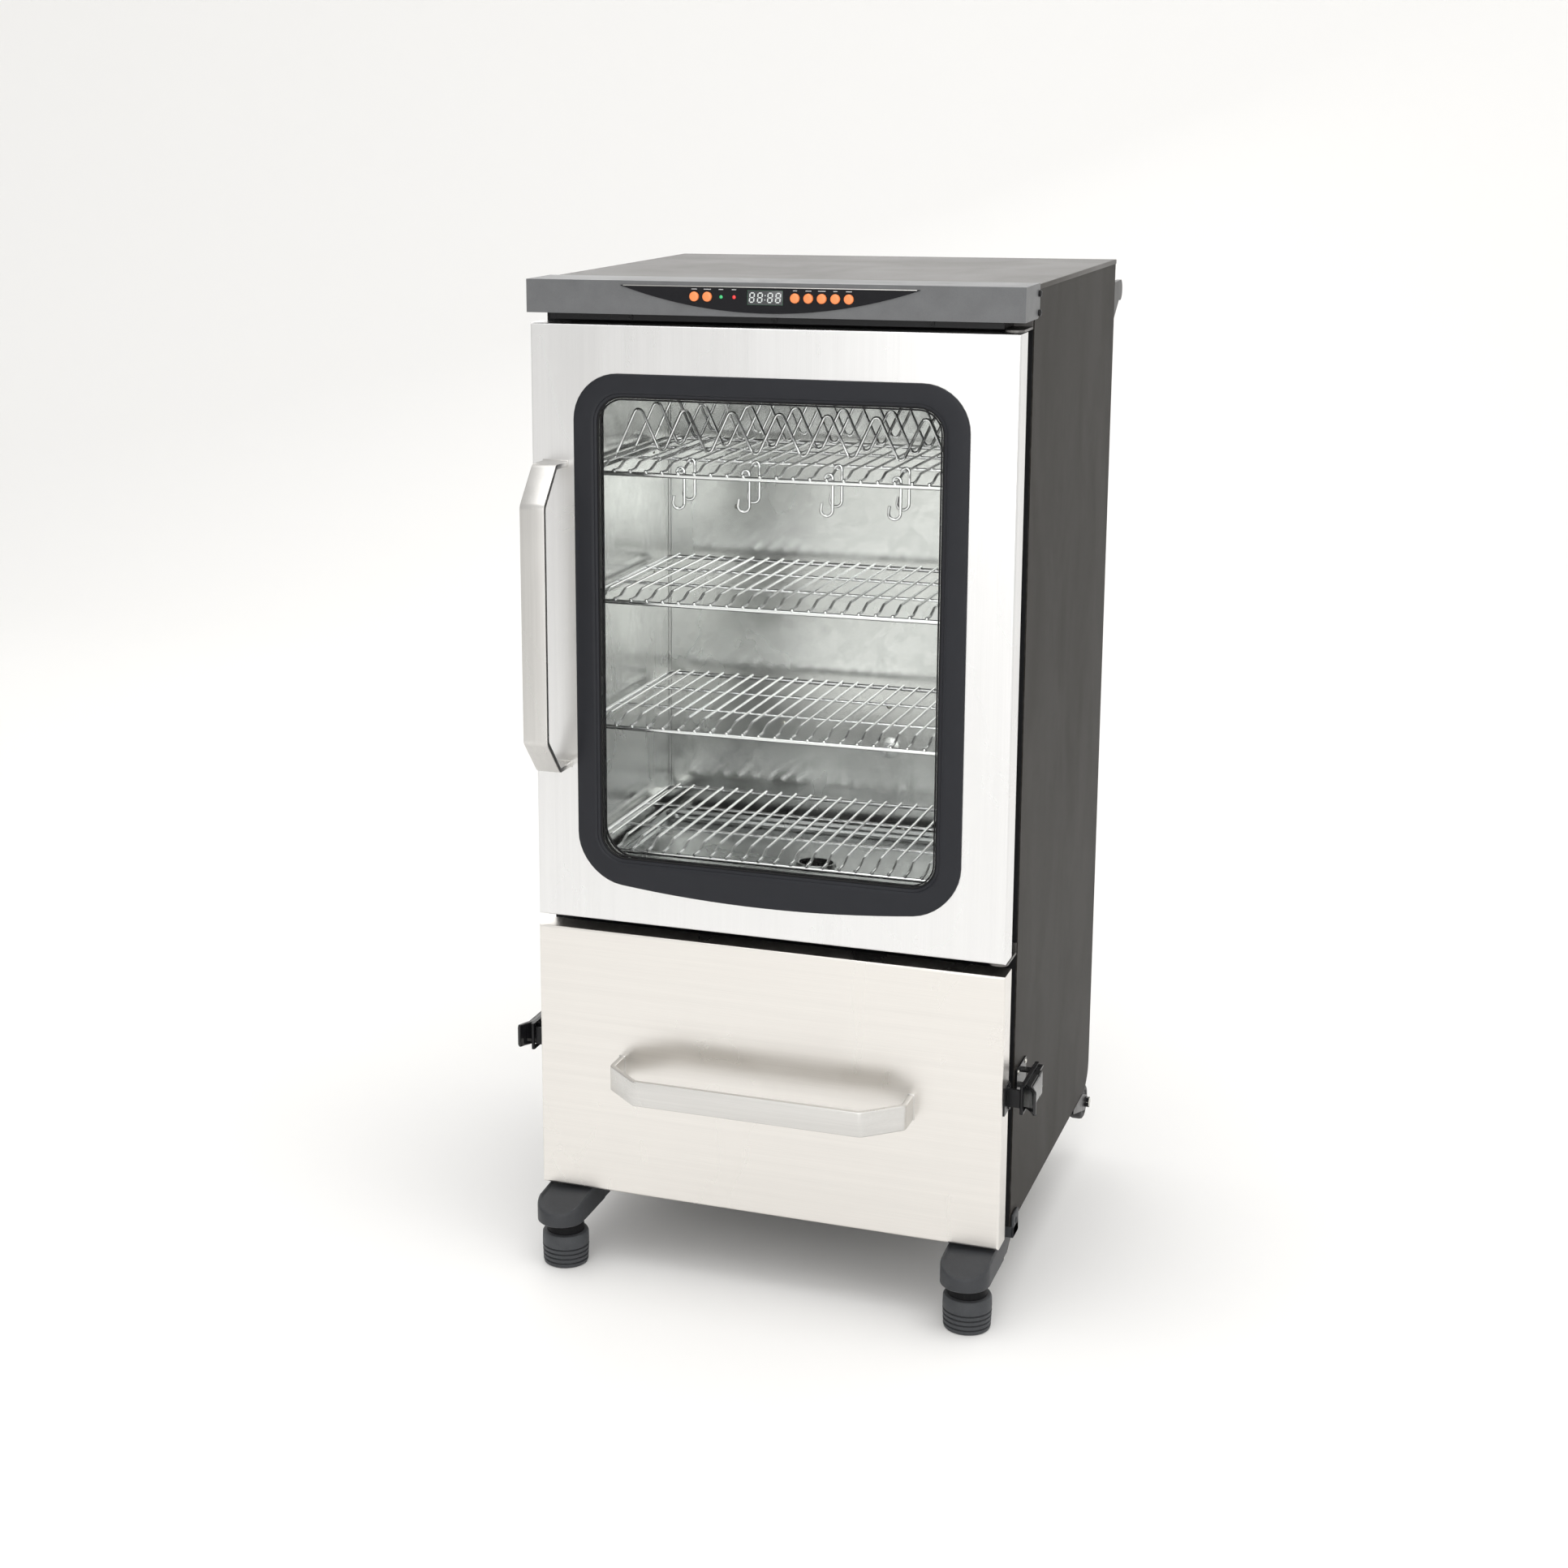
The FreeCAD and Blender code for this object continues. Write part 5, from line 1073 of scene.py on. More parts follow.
@dataclass
class ControlHead:
    """Hood, glossy bezel, keys, display, lamps and strip above the door."""

    keys: int = 7
    digit_w: float = 4.6 * MM
    digit_h: float = 9.4 * MM
    digit_pitch: float = 8.6 * MM
    slant: float = 0.10
    bar: float = 0.62 * MM

    def build(self, shop: Workshop) -> None:
        """Builds the whole head."""
        shop.dress(HOOD_PLASTIC, "control_housing")
        shop.dress(GLOSS_BLACK, "control_bezel")
        shop.dress(BLACK_PLASTIC, "head_strip", "head_screws")
        shop.dress(BOARD_GREEN, "control_board")
        self.build_keys(shop)
        self.build_display(shop)
        self.build_lamps(shop)
        self.build_trim(shop)

    def build_keys(self, shop: Workshop) -> None:
        """Domed keys with a collar, and a small mark above each."""
        marks = []
        face = Box.of("control_bezel").low.y
        for number in range(1, self.keys + 1):
            box = Box.of(f"button_{number}")
            spot = Vector((box.centre.x, box.low.y, box.centre.z))
            r = 5.0 * MM
            cap = [(0, 0.1 * MM), (0.45 * r, 0.0), (0.75 * r, 0.12 * MM), (0.92 * r, 0.55 * MM),
                   (r, 1.2 * MM),
                   (r, 6 * MM), (1.2 * r, 6.2 * MM), (1.2 * r, 8 * MM), (0.4 * r, 8.2 * MM),
                   (0.4 * r, box.high.y - box.low.y), (0, box.high.y - box.low.y)]
            shop.make(f"key_{number}_cap", lathe(cap, spot, (0, 1, 0), 36), KEY_ORANGE, f"key_{number}",
                      [f"button_{number}"])
            width = 2.2 * MM + 0.9 * MM * (number % 3)
            marks.append(block((spot.x - width, face - 0.05 * MM, spot.z + 7.3 * MM),
                               (spot.x + width, face + 0.2 * MM, spot.z + 7.9 * MM), 0.05 * MM, 1))
        for lamp in (-49.3 * MM, -35.2 * MM):
            spot = Box.of("button_1").centre
            marks.append(block((lamp - 2.4 * MM, face - 0.05 * MM, spot.z + 7.3 * MM),
                               (lamp + 2.4 * MM, face + 0.2 * MM, spot.z + 7.9 * MM), 0.05 * MM, 1))
        shop.make("key_marks", joined(marks), MARK_WHITE, "cabinet")

    def build_display(self, shop: Workshop) -> None:
        """Smoked lens with four slanted seven-segment figures and a colon."""
        key, bezel = Box.of("button_1"), Box.of("control_bezel")
        middle = Vector((-2 * MM, bezel.low.y + 0.35 * MM, key.centre.z))
        lens = block((middle.x - 19 * MM, middle.y, middle.z - 7.5 * MM),
                     (middle.x + 19 * MM, middle.y + 1.5 * MM, middle.z + 7.5 * MM), 0.4 * MM)
        shop.make("display_lens", lens, DISPLAY_SMOKE, "cabinet")
        shapes = []
        for place in (-1.5, -0.5, 0.5, 1.5):
            nudge = 1.1 * MM if place > 0 else -1.1 * MM
            shapes += self.figure(middle + Vector((place * self.digit_pitch + nudge, -0.12 * MM, 0)))
        for z in (-2.2 * MM, 2.2 * MM):
            shapes.append(lathe([(0.65 * MM, 0), (0.6 * MM, 0.15 * MM), (0, 0.15 * MM)],
                                middle + Vector((z * self.slant, 0, z)), (0, -1, 0), 16))
        shop.make("display_figures", joined(shapes), SEGMENT_GLOW, "cabinet")

    def figure(self, middle: Vector) -> list[Shape]:
        """All seven bars of one figure."""
        bars = []
        for segment in Segment:
            sx, sy, upright = segment.value
            cx, cz = sx * self.digit_w / 2, sy * self.digit_h / 2
            length = (self.digit_h if upright else self.digit_w * 2) / 4 - 0.35 * MM
            b = self.bar
            hexagon = [(-length, 0), (-length + b, -b), (length - b, -b), (length, 0), (length - b, b),
                       (-length + b, b)]
            outline = []
            for u, v in hexagon:
                x, z = (v, u) if upright else (u, v)
                outline.append(middle + Vector((cx + x + (cz + z) * self.slant, 0, cz + z)))
            bars.append(prism(outline, (0, 0.1 * MM, 0), 0))
        return bars

    def build_lamps(self, shop: Workshop) -> None:
        """Green and red status lenses."""
        z, y = Box.of("button_1").centre.z, Box.of("indicator_lamps").low.y
        dome = [(0, -0.3 * MM), (0.8 * MM, -0.2 * MM), (1.5 * MM, 0.15 * MM), (1.85 * MM, 0.7 * MM),
                (1.85 * MM, 6 * MM), (0, 6 * MM)]
        for name, x, lens in (("power_lens", -49.3 * MM, GREEN_LENS), ("heat_lens", -35.2 * MM, RED_LENS)):
            shop.make(name, lathe(dome, (x, y, z), (0, 1, 0), 24), lens, "cabinet", ["indicator_lamps"])

    def build_trim(self, shop: Workshop) -> None:
        """Steel strip along the top of the bezel, a painted highlight for the shine of its rolled top edge,
        and the hood's screw heads.
        """
        # Bright steel strip laid on as a painted highlight of the bezel's rolled top edge.
        bezel, hood = Box.of("control_bezel"), Box.of("control_housing")
        line = block((bezel.low.x + 3 * MM, bezel.low.y - 0.15 * MM, bezel.high.z - 0.25 * MM),
                     (bezel.high.x - 3 * MM, bezel.low.y + 1.0 * MM, bezel.high.z + 0.5 * MM), 0.15 * MM, 2)
        shop.make("bezel_painted_highlight_strip", line, LEVEL_STRAP, "cabinet")
        heads = []
        for sign in (1, -1):
            for drop in (10 * MM, 29.3 * MM):
                heads.append(screw_head((sign * (hood.high.x + 0.9 * MM), hood.high.y - 5.5 * MM,
                                         hood.high.z - drop), (sign, 0, 0), 3.6 * MM))
        shop.make("hood_screws", joined(heads), BLACK_PLASTIC, "cabinet")


class Bar(Enum):
    """Which way a strap handle lies."""

    UPRIGHT = "upright"
    LEVEL = "level"


@dataclass
class StrapHandle:
    """Flat strap bent into a handle with two square legs."""

    node: str
    bar: Bar
    thick: float = 6 * MM
    bend: float = 8 * MM
    leg: float = 32 * MM
    run: float = 40 * MM
    edge: float = 1.1 * MM

    def shape(self) -> Shape:
        """The strap, swept along its bent centreline."""
        box = Box.of(self.node)
        upright = self.bar is Bar.UPRIGHT
        low, high = (box.low.z, box.high.z) if upright else (box.low.x, box.high.x)
        width = (box.high.x - box.low.x) if upright else (box.high.z - box.low.z)
        door, face = box.high.y, box.low.y
        t = self.thick / 2
        u0, u1 = low + t, high - t
        grip0, grip1 = low + self.run + 0.4 * t, high - self.run - 0.4 * t
        leg_y = door - self.leg + 0.4 * t
        flat = [(u0, door), (u0, leg_y), (grip0, face + t), (grip1, face + t), (u1, leg_y), (u1, door)]
        middle = box.centre
        corners = [(middle.x, y, u) if upright else (u, y, middle.z) for u, y in flat]
        path = fillet(corners, self.bend, 8)
        across = (1, 0, 0) if upright else (0, 0, 1)
        return sweep(path, rounded_rect(width / 2, t, self.edge, 3), across=across)

    def feet(self) -> Shape:
        """Thin pads where the legs meet the front."""
        box = Box.of(self.node)
        t = self.thick
        pads = []
        for end in (0, 1):
            low, high = box.low.copy(), box.high.copy()
            if self.bar is Bar.UPRIGHT:
                low.z, high.z = (box.low.z, box.low.z + t) if end == 0 else (box.high.z - t, box.high.z)
            else:
                low.x, high.x = (box.low.x, box.low.x + t) if end == 0 else (box.high.x - t, box.high.x)
            low = low - Vector((0.8, 0, 0.8)) * MM
            high = high + Vector((0.8, 0, 0.8)) * MM
            low.y, high.y = box.high.y - 1.2 * MM, box.high.y + 0.2 * MM
            pads.append(block(low, high, 0.4 * MM))
        return joined(pads)


@dataclass
class BulbSeal:
    """Rubber seal round an inner pan: a flat foot with a hollow-looking bulb and a lip."""

    node: str
    width: float = 16 * MM
    corner: float = 9 * MM

    def shape(self) -> Shape:
        """The seal as a loop of sections."""
        box = Box.of(self.node)
        middle, half = box.centre, (box.high - box.low) / 2
        y0, y1 = box.low.y, box.high.y
        profile = [(0.0, y0), (0.0, y0 + 1.2 * MM), (2.5 * MM, y0 + 1.6 * MM), (4.0 * MM, y0 + 3.4 * MM),
                   (6.2 * MM, y1 - 0.6 * MM), (8.4 * MM, y1), (10.6 * MM, y1 - 0.6 * MM),
                   (12.4 * MM, y0 + 3.2 * MM),
                   (13.6 * MM, y0 + 1.6 * MM), (self.width, y0 + 1.2 * MM), (self.width, y0)]
        rings = []
        for inset, y in profile:
            outline = rounded_rect(half.x - inset, half.z - inset, max(self.corner - inset * 0.3, 3 * MM), 6)
            rings.append([Vector((middle.x + u, y, middle.z + v)) for u, v in outline])
        return loft(rings, loop=True)


@dataclass
class Door:
    """Door leaf with its bezel, beads, seal, handle and pan fixings."""

    bezel_corner: float = 50 * MM
    rim_corner: float = 28 * MM
    sag: float = 16 * MM
    rim_x: float = 188 * MM
    rim_low: float = 482 * MM
    rim_high: float = 989 * MM
    proud: float = 3 * MM
    side_steps: int = 16

    def build(self, shop: Workshop) -> None:
        """Builds the leaf."""
        shop.dress(DOOR_STEEL, "door_skin")
        shop.dress(PAN_STEEL, "door_inner")
        shop.dress(WINDOW, "window_glass")
        shop.dress(HINGE_ZINC, "hinge_brackets")
        shop.make("bezel_ring", self.bezel(), BEZEL_PAINT, "door", ["window_bezel"])
        self.build_beads(shop)
        shop.make("door_seal", BulbSeal("door_gasket").shape(), SEAL_RUBBER, "door", ["door_gasket"])
        handle = StrapHandle("door_handle", Bar.UPRIGHT)
        shop.make("door_strap", handle.shape(), UPRIGHT_STRAP, "door", ["door_handle"])
        shop.make("door_strap_feet", handle.feet(), UPRIGHT_STRAP, "door")
        self.build_pan_fixings(shop)

    def rim_outline(self, grow: float) -> list[tuple[float, float]]:
        """Clear opening's outline, larger by a margin, with extra points along its sides."""
        half_z = (self.rim_high - self.rim_low) / 2
        middle = (self.rim_high + self.rim_low) / 2
        corners = rounded_rect(self.rim_x + grow, half_z + grow, max(self.rim_corner + grow, 4 * MM), 10)
        return [(u, v + middle) for u, v in self.subdivided(corners)]

    def bezel_outline(self, inset: float) -> list[tuple[float, float]]:
        """Bezel's outer outline, smaller by an inset, with its bowed lower side."""
        box = Box.of("window_bezel")
        low, high = box.low.z + self.sag, box.high.z
        middle, half_z = (low + high) / 2, (high - low) / 2
        half_x = box.high.x
        outline = self.subdivided(rounded_rect(half_x - inset, half_z - inset, self.bezel_corner - inset, 10))
        bowed = []
        for u, v in outline:
            reach = max(0.0, 1 - (u / half_x) ** 2)
            share = max(0.0, min(1.0, (self.bezel_corner * 1.6 - (v + half_z)) / (self.bezel_corner * 1.6)))
            bowed.append((u, v + middle - self.sag * reach * share))
        return bowed

    def subdivided(self, outline: list[tuple[float, float]]) -> list[tuple[float, float]]:
        """An outline with its straight sides cut into equal steps."""
        fine = []
        for i, (u, v) in enumerate(outline):
            nu, nv = outline[(i + 1) % len(outline)]
            steps = self.side_steps if math.hypot(nu - u, nv - v) > 60 * MM else 1
            fine += [(u + (nu - u) * k / steps, v + (nv - v) * k / steps) for k in range(steps)]
        return fine

    def bezel(self) -> Shape:
        """Bezel with a rolled outer edge, a slightly crowned face and an inner lip."""
        face = Box.of("window_bezel").low.y + self.proud
        rings = []
        for inset, out in ((0, 0.0), (0, 1.3), (0.5, 2.2), (1.6, 2.75), (3.2, 2.95)):
            rings.append([Vector((u, face - out * MM, v)) for u, v in self.bezel_outline(inset * MM)])
        outer, inner = self.bezel_outline(3.2 * MM), self.rim_outline(4.5 * MM)
        for share, out in ((0.3, 3.1), (0.6, 3.15), (0.85, 3.05)):
            rings.append([Vector((a[0] + (b[0] - a[0]) * share, face - out * MM,
                                  a[1] + (b[1] - a[1]) * share))
                          for a, b in zip(outer, inner)])
        for grow, out in ((4.5, 2.95), (3.6, 2.5), (3.0, 1.5), (1.2, 1.35), (0.3, 0.9), (0.0, 0.2),
                          (0.0, -1.2),
                          (7.5, -1.2), (7.5, 0.0)):
            rings.append([Vector((u, face - out * MM, v)) for u, v in self.rim_outline(grow * MM)])
        return loft(rings, loop=True)

    def build_beads(self, shop: Workshop) -> None:
        """Rubber beads between glass and bezel, and the bright rim of the inner tunnel."""
        glass = Box.of("window_glass")
        for name, grow, y, r, finish in (("outer_bead", -0.6, glass.low.y - 0.5 * MM, 1.3, SEAL_RUBBER),
                                         ("second_bead", -3.2, glass.low.y + 0.1 * MM, 0.9, SEAL_RUBBER),
                                         ("tunnel_bead", 8.6, glass.high.y - 0.3 * MM, 1.4, SEAL_RUBBER)):
            path = [Vector((u, y, v)) for u, v in self.rim_outline(grow * MM)]
            shop.make(name, sweep(path, circle(r * MM, 8), closed=True), finish, "door")
        spacer = []
        for grow, y in ((12.8, glass.low.y + 8 * MM), (12.8, glass.high.y - 5 * MM),
                        (12.0, glass.high.y - 5 * MM),
                        (12.0, glass.low.y + 8 * MM)):
            spacer.append([Vector((u, y, v)) for u, v in self.rim_outline(grow * MM)])
        shop.make("tunnel_lining", loft(spacer, loop=True), PAN_STEEL, "door")

    def build_pan_fixings(self, shop: Workshop) -> None:
        """Screws round the window on the chamber side and a pressed border in the pan."""
        pan = Box.of("door_inner")
        y = pan.high.y
        heads = []
        for x, z in self.frame_spots(pan.centre, 212 * MM, 284 * MM):
            heads.append(screw_head((x, y, z), (0, 1, 0), 3.0 * MM))
        shop.make("door_pan_screws", joined(heads), ZINC_BOLT, "door")
        border = [Vector((u, y + 0.1 * MM, v)) for u, v in self.rim_outline(17 * MM)]
        shop.make("door_pan_border", sweep(border, circle(1.5 * MM, 8), closed=True), PAN_STEEL, "door")

    @staticmethod
    def frame_spots(middle: Vector, half_x: float, half_z: float) -> list[tuple[float, float]]:
        """Evenly spaced fixing places round a rectangle."""
        spots = [(middle.x + sx * half_x, middle.z + half_z * share) for sx in (1, -1)
                 for share in (-0.9, -0.3, 0.3, 0.9)]
        return spots + [(middle.x + half_x * share, middle.z + sz * half_z) for sz in (1, -1)
                        for share in (-0.5, 0.0, 0.5)]


@dataclass
class Drawer:
    """Drawer front with its handle, seal, carriage fixings and trays."""

    rail_bolts: int = 5

    def build(self, shop: Workshop) -> None:
        """Builds the drawer."""
        # The drawer front takes a darker, warmer copy of the door steel: painted reflection tone.
        shop.dress(DRAWER_STEEL_PAINTED_REFLECTION, "drawer_front")
        shop.dress(PAN_STEEL, "drawer_carriage")
        shop.dress(TRAY_STEEL, "chip_tray")
        shop.dress(BLACK_PLASTIC, "latch_keepers")
        handle = StrapHandle("drawer_handle", Bar.LEVEL)
        shop.make("drawer_strap", handle.shape(), LEVEL_STRAP, "drawer", ["drawer_handle"])
        shop.make("drawer_strap_feet", handle.feet(), LEVEL_STRAP, "drawer")
        shop.make("drawer_seal", BulbSeal("drawer_gasket").shape(), SEAL_RUBBER, "drawer", ["drawer_gasket"])
        shop.make("water_dish", self.water_dish(Box.of("water_pan")), TRAY_STEEL, "drawer", ["water_pan"])
        self.build_fixings(shop)
        self.build_chip_lid(shop)

    @staticmethod
    def water_dish(box: Box) -> Shape:
        """Pressed dish with a flat hanging rim, a rolled edge and a stepped floor."""
        middle, half = box.centre, (box.high - box.low) / 2
        body_x = half.x - 14 * MM
        z1, z0 = box.high.z, box.low.z
        sections = [
            (half.x, half.y, 4, z1 - 1 * MM), (half.x, half.y, 4, z1 + 0.4 * MM),
                    (half.x - 1 * MM, half.y - 1 * MM, 4, z1 + 0.9 * MM),
            (half.x - 2.5 * MM, half.y - 1.5 * MM, 4, z1), (body_x - 1 * MM, half.y - 3 * MM, 12, z1),
            (body_x - 3 * MM, half.y - 5 * MM, 12, z1 - 3 * MM),
                    (body_x - 5 * MM, half.y - 7 * MM, 12, z0 + 5 * MM),
            (body_x - 9 * MM, half.y - 11 * MM, 14, z0 + 1.2 * MM),
                    (body_x - 30 * MM, half.y - 30 * MM, 10, z0 + 1.2 * MM),
            (body_x - 33 * MM, half.y - 33 * MM, 10, z0 + 2.4 * MM), (8 * MM, 8 * MM, 7.9, z0 + 2.4 * MM)]
        top = [[Vector((middle.x + u, middle.y + v, z)) for u, v in rounded_rect(w, h, r * MM, 6)]
               for w, h, r, z in sections]
        under = [[p - Vector((0, 0, 0.9 * MM)) for p in ring] for ring in reversed(top)]
        return loft(top + under, loop=True)

    def build_fixings(self, shop: Workshop) -> None:
        """Bolt heads along both rails and round the carriage's inner pan."""
        box, front = Box.of("drawer_carriage"), Box.of("drawer_front")
        rail_x, rail_z = 222 * MM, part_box("latch_keepers")[0].z - 40 * MM
        heads = []
        for i in range(self.rail_bolts):
            y = front.high.y + 60 * MM + 60 * MM * i
            heads += [Chamber.rivet((sign * rail_x, y, 200 * MM), (-sign, 0, 0)) for sign in (1, -1)]
        pan_y = box.low.y + 46 * MM - 1.2 * MM
        for x in (-180 * MM, -60 * MM, 60 * MM, 180 * MM):
            for z in (rail_z - 85 * MM, rail_z + 138 * MM):
                heads.append(screw_head((x, pan_y, z), (0, 1, 0), 3.0 * MM))
        shop.make("drawer_fixings", joined(heads), ZINC_BOLT, "drawer")

    @staticmethod
    def build_chip_lid(shop: Workshop) -> None:
        """Wire lifting loop on the lid of the chip tray."""
        box = Box.of("chip_tray")
        x, y, z = box.centre.x, box.centre.y, box.high.z
        loop = [(x - 26 * MM, y, z - 0.5 * MM), (x - 26 * MM, y, z + 7 * MM), (x + 26 * MM, y, z + 7 * MM),
                (x + 26 * MM, y, z - 0.5 * MM)]
        shop.make("chip_lid_loop", tube(loop, 1.8 * MM, 6 * MM, 10), WIRE_CHROME, "drawer")


@dataclass
class Latches:
    """Draw latches on both sides, with their pivot screws."""

    def build(self, shop: Workshop) -> None:
        """Dresses the latch parts and adds the screws."""
        shop.dress(BLACK_PLASTIC, "latch_bases", *shop.pair("latch_lever"), *shop.pair("latch_bail"))
        base = Box.of("latch_bases")
        screws = []
        for dz in (-13 * MM, 13 * MM):
            for y in (base.low.y + 5 * MM, base.high.y - 5 * MM):
                screws.append(screw_head((265 * MM + 2 * MM, y, base.centre.z + dz), (1, 0, 0), 2.6 * MM))
        right = joined(screws)
        shop.make("latch_screws", right.join(right.mirrored()), ZINC_BOLT, "cabinet")
        shell = self.lever_shell(Box.of("latch_lever_right"))
        shop.make("lever_shell_right", shell, LEVER_BLACK, "lever_right")
        shop.make("lever_shell_left", shell.mirrored(), LEVER_BLACK, "lever_left")

    @staticmethod
    def lever_shell(box: Box) -> Shape:
        """Rounded hand cover over a lever, thick in the middle and flared at the tip."""
        out, tip, pivot, z = box.high.x - 7 * MM, box.low.y, box.high.y - 12 * MM, box.centre.z
        stations = [(tip - 0.3 * MM, 4.6, 7.2, 11.0, 1.2), (tip + 1 * MM, 3.8, 7.4, 12.8, 1.6),
                    (tip + 8 * MM, -0.6, 4.4, 13.2, 1.8), (tip + 15 * MM, -6.0, 1.2, 13.2, 2.6),
                    (tip + 20 * MM, -12.5, 0.7, 13.2, 3.2), (pivot - 23 * MM, -12.5, 0.7, 13.2, 3.2),
                    (pivot - 21 * MM, -11.5, 0.7, 13.2, 3.2), (pivot - 20.5 * MM, -2.9, 0.7, 13.2, 1.5),
                    (pivot - 8 * MM, -2.9, 0.7, 13.2, 1.5), (pivot - 7.2 * MM, -2.6, 0.2, 12.6, 1.2)]
        rings = []
        for y, inner, outer, half, corner in stations:
            middle = out + (inner + outer) / 2 * MM
            outline = rounded_rect((outer - inner) / 2 * MM, half * MM, corner * MM * 0.95, 4)
            rings.append([Vector((middle + u, y, z + v)) for u, v in outline])
        return loft(rings)


@dataclass
class Support:
    """Front legs with screw pads, rear posts, and rollers in their forks."""

    half: float = 27 * MM
    lip: float = 15 * MM
    nose: float = 47 * MM
    groove_levels: tuple[float, ...] = (5.5 * MM, 11 * MM, 16.5 * MM, 22 * MM)

    def build(self, shop: Workshop) -> None:
        """Builds legs, pads and rollers."""
        shop.dress(BLACK_PLASTIC, "wheel_brackets")
        leg, rear = self.front_leg(), self.rear_post()
        shop.make("front_leg_right", leg, LEG_PLASTIC, "cabinet", ["legs"])
        shop.make("front_leg_left", leg.mirrored(), LEG_PLASTIC, "cabinet", ["legs"])
        shop.make("rear_post_right", rear, LEG_PLASTIC, "cabinet", ["legs"])
        shop.make("rear_post_left", rear.mirrored(), LEG_PLASTIC, "cabinet", ["legs"])
        for side in ("right", "left"):
            self.build_pad(shop, side)
            self.build_roller(shop, side)

    def front_leg(self) -> Shape:
        """Right leg: a U-shaped nose with a flat sloping top and an upright lip band."""
        pad = Box.of("leveling_pad_right")
        x = pad.centre.x
        drawer, cabinet = Box.of("drawer_front"), Box.of("side_panel_right")
        low = 55 * MM
        top = drawer.low.z - 1.5 * MM
        nose = drawer.low.y - self.nose
        under_cabinet = cabinet.low.z
        sections = []
        for inset, z0, rise in ((1.4, low, 0.0), (0.0, low + 1.4 * MM, 0.0), (0.0, low, 0.86),
                                (0.5, low, 0.94),
                                (1.6, low, 1.0), (3.4, low, 1.0)):
            sections.append(self.leg_ring(x, nose, z0, inset * MM, rise, top))
        leg = loft(sections)
        body = prism([(x - self.half + 1 * MM, drawer.low.y + 48 * MM, top),
                      (x - self.half + 1 * MM, cabinet.low.y - 1 * MM, top),
                      (x - self.half + 1 * MM, cabinet.low.y - 1 * MM, under_cabinet),
                      (x - self.half + 1 * MM, cabinet.low.y + 60 * MM, under_cabinet),
                      (x - self.half + 1 * MM, cabinet.low.y + 60 * MM, under_cabinet - 12 * MM),
                      (x - self.half + 1 * MM, cabinet.low.y + 14 * MM, low + 0.5 * MM),
                      (x - self.half + 1 * MM, drawer.low.y + 20 * MM, low + 0.5 * MM),
                      (x - self.half + 1 * MM, drawer.low.y + 20 * MM, top - 8 * MM)],
                     (2 * self.half - 2 * MM, 0, 0), 1.2 * MM, 3)
        tab = block((x + self.half - 4 * MM, cabinet.low.y + 2 * MM, under_cabinet - 14 * MM),
                    (cabinet.high.x + 3.5 * MM, cabinet.low.y + 27 * MM, under_cabinet - 0.3 * MM), 1.5 * MM,
                    3)
        ear = block((cabinet.high.x + 0.1 * MM, cabinet.low.y + 2 * MM, under_cabinet - 14 * MM),
                    (cabinet.high.x + 3.5 * MM, cabinet.low.y + 27 * MM, under_cabinet + 13 * MM), 1.5 * MM,
                    3)
        screw = screw_head((cabinet.high.x + 3.4 * MM, cabinet.low.y + 14 * MM, under_cabinet + 3 * MM),
                           (1, 0, 0))
        return joined([leg, body, tab, ear, screw])

    def leg_ring(self, x: float, nose: float, z0: float, inset: float, rise: float,
                 top: float) -> list[Vector]:
        """One level of the leg: a U in plan whose height follows the sloping top.

        Args:
            x: Middle of the leg.
            nose: Front end.
            z0: Level at no rise.
            inset: How far the ring lies inside the full outline.
            rise: Share of the height up to the sloping top.
            top: Level under the drawer.

        Returns:
            The ring's points.
        """
        half = self.half - inset
        centre = nose + self.half
        ring = [(x + half, centre + 66 * MM)]
        ring += [(x + half * math.cos(a), centre + half * math.sin(a))
                 for a in (-math.pi * k / 24 for k in range(25))]
        ring += [(x - half, centre + 66 * MM)]
        points = []
        for u, v in ring:
            slope = z0 + self.lip + max(0.0, v - nose) / (38 * MM) * (top - z0 - self.lip)
            height = min(slope, top)
            points.append(Vector((u, v, z0 + (height - z0) * rise)))
        return points

    @staticmethod
    def rear_post() -> Shape:
        """Right rear post with a rubber-like foot flange."""
        x, y = 150 * MM, Box.of("back_shell").high.y - 60 * MM
        top = Box.of("side_panel_right").low.z
        r = 18 * MM
        profile = [(0, 0), (r, 0), (r + 2 * MM, 1.5 * MM), (r + 2 * MM, 8.5 * MM), (r + 0.5 * MM, 10 * MM),
                   (r, 12 * MM), (r + 4.6 * MM, top - 6 * MM), (r + 5 * MM, top - 0.2 * MM),
                   (0, top - 0.2 * MM)]
        return lathe(profile, (x, y, 0), (0, 0, 1), 48)

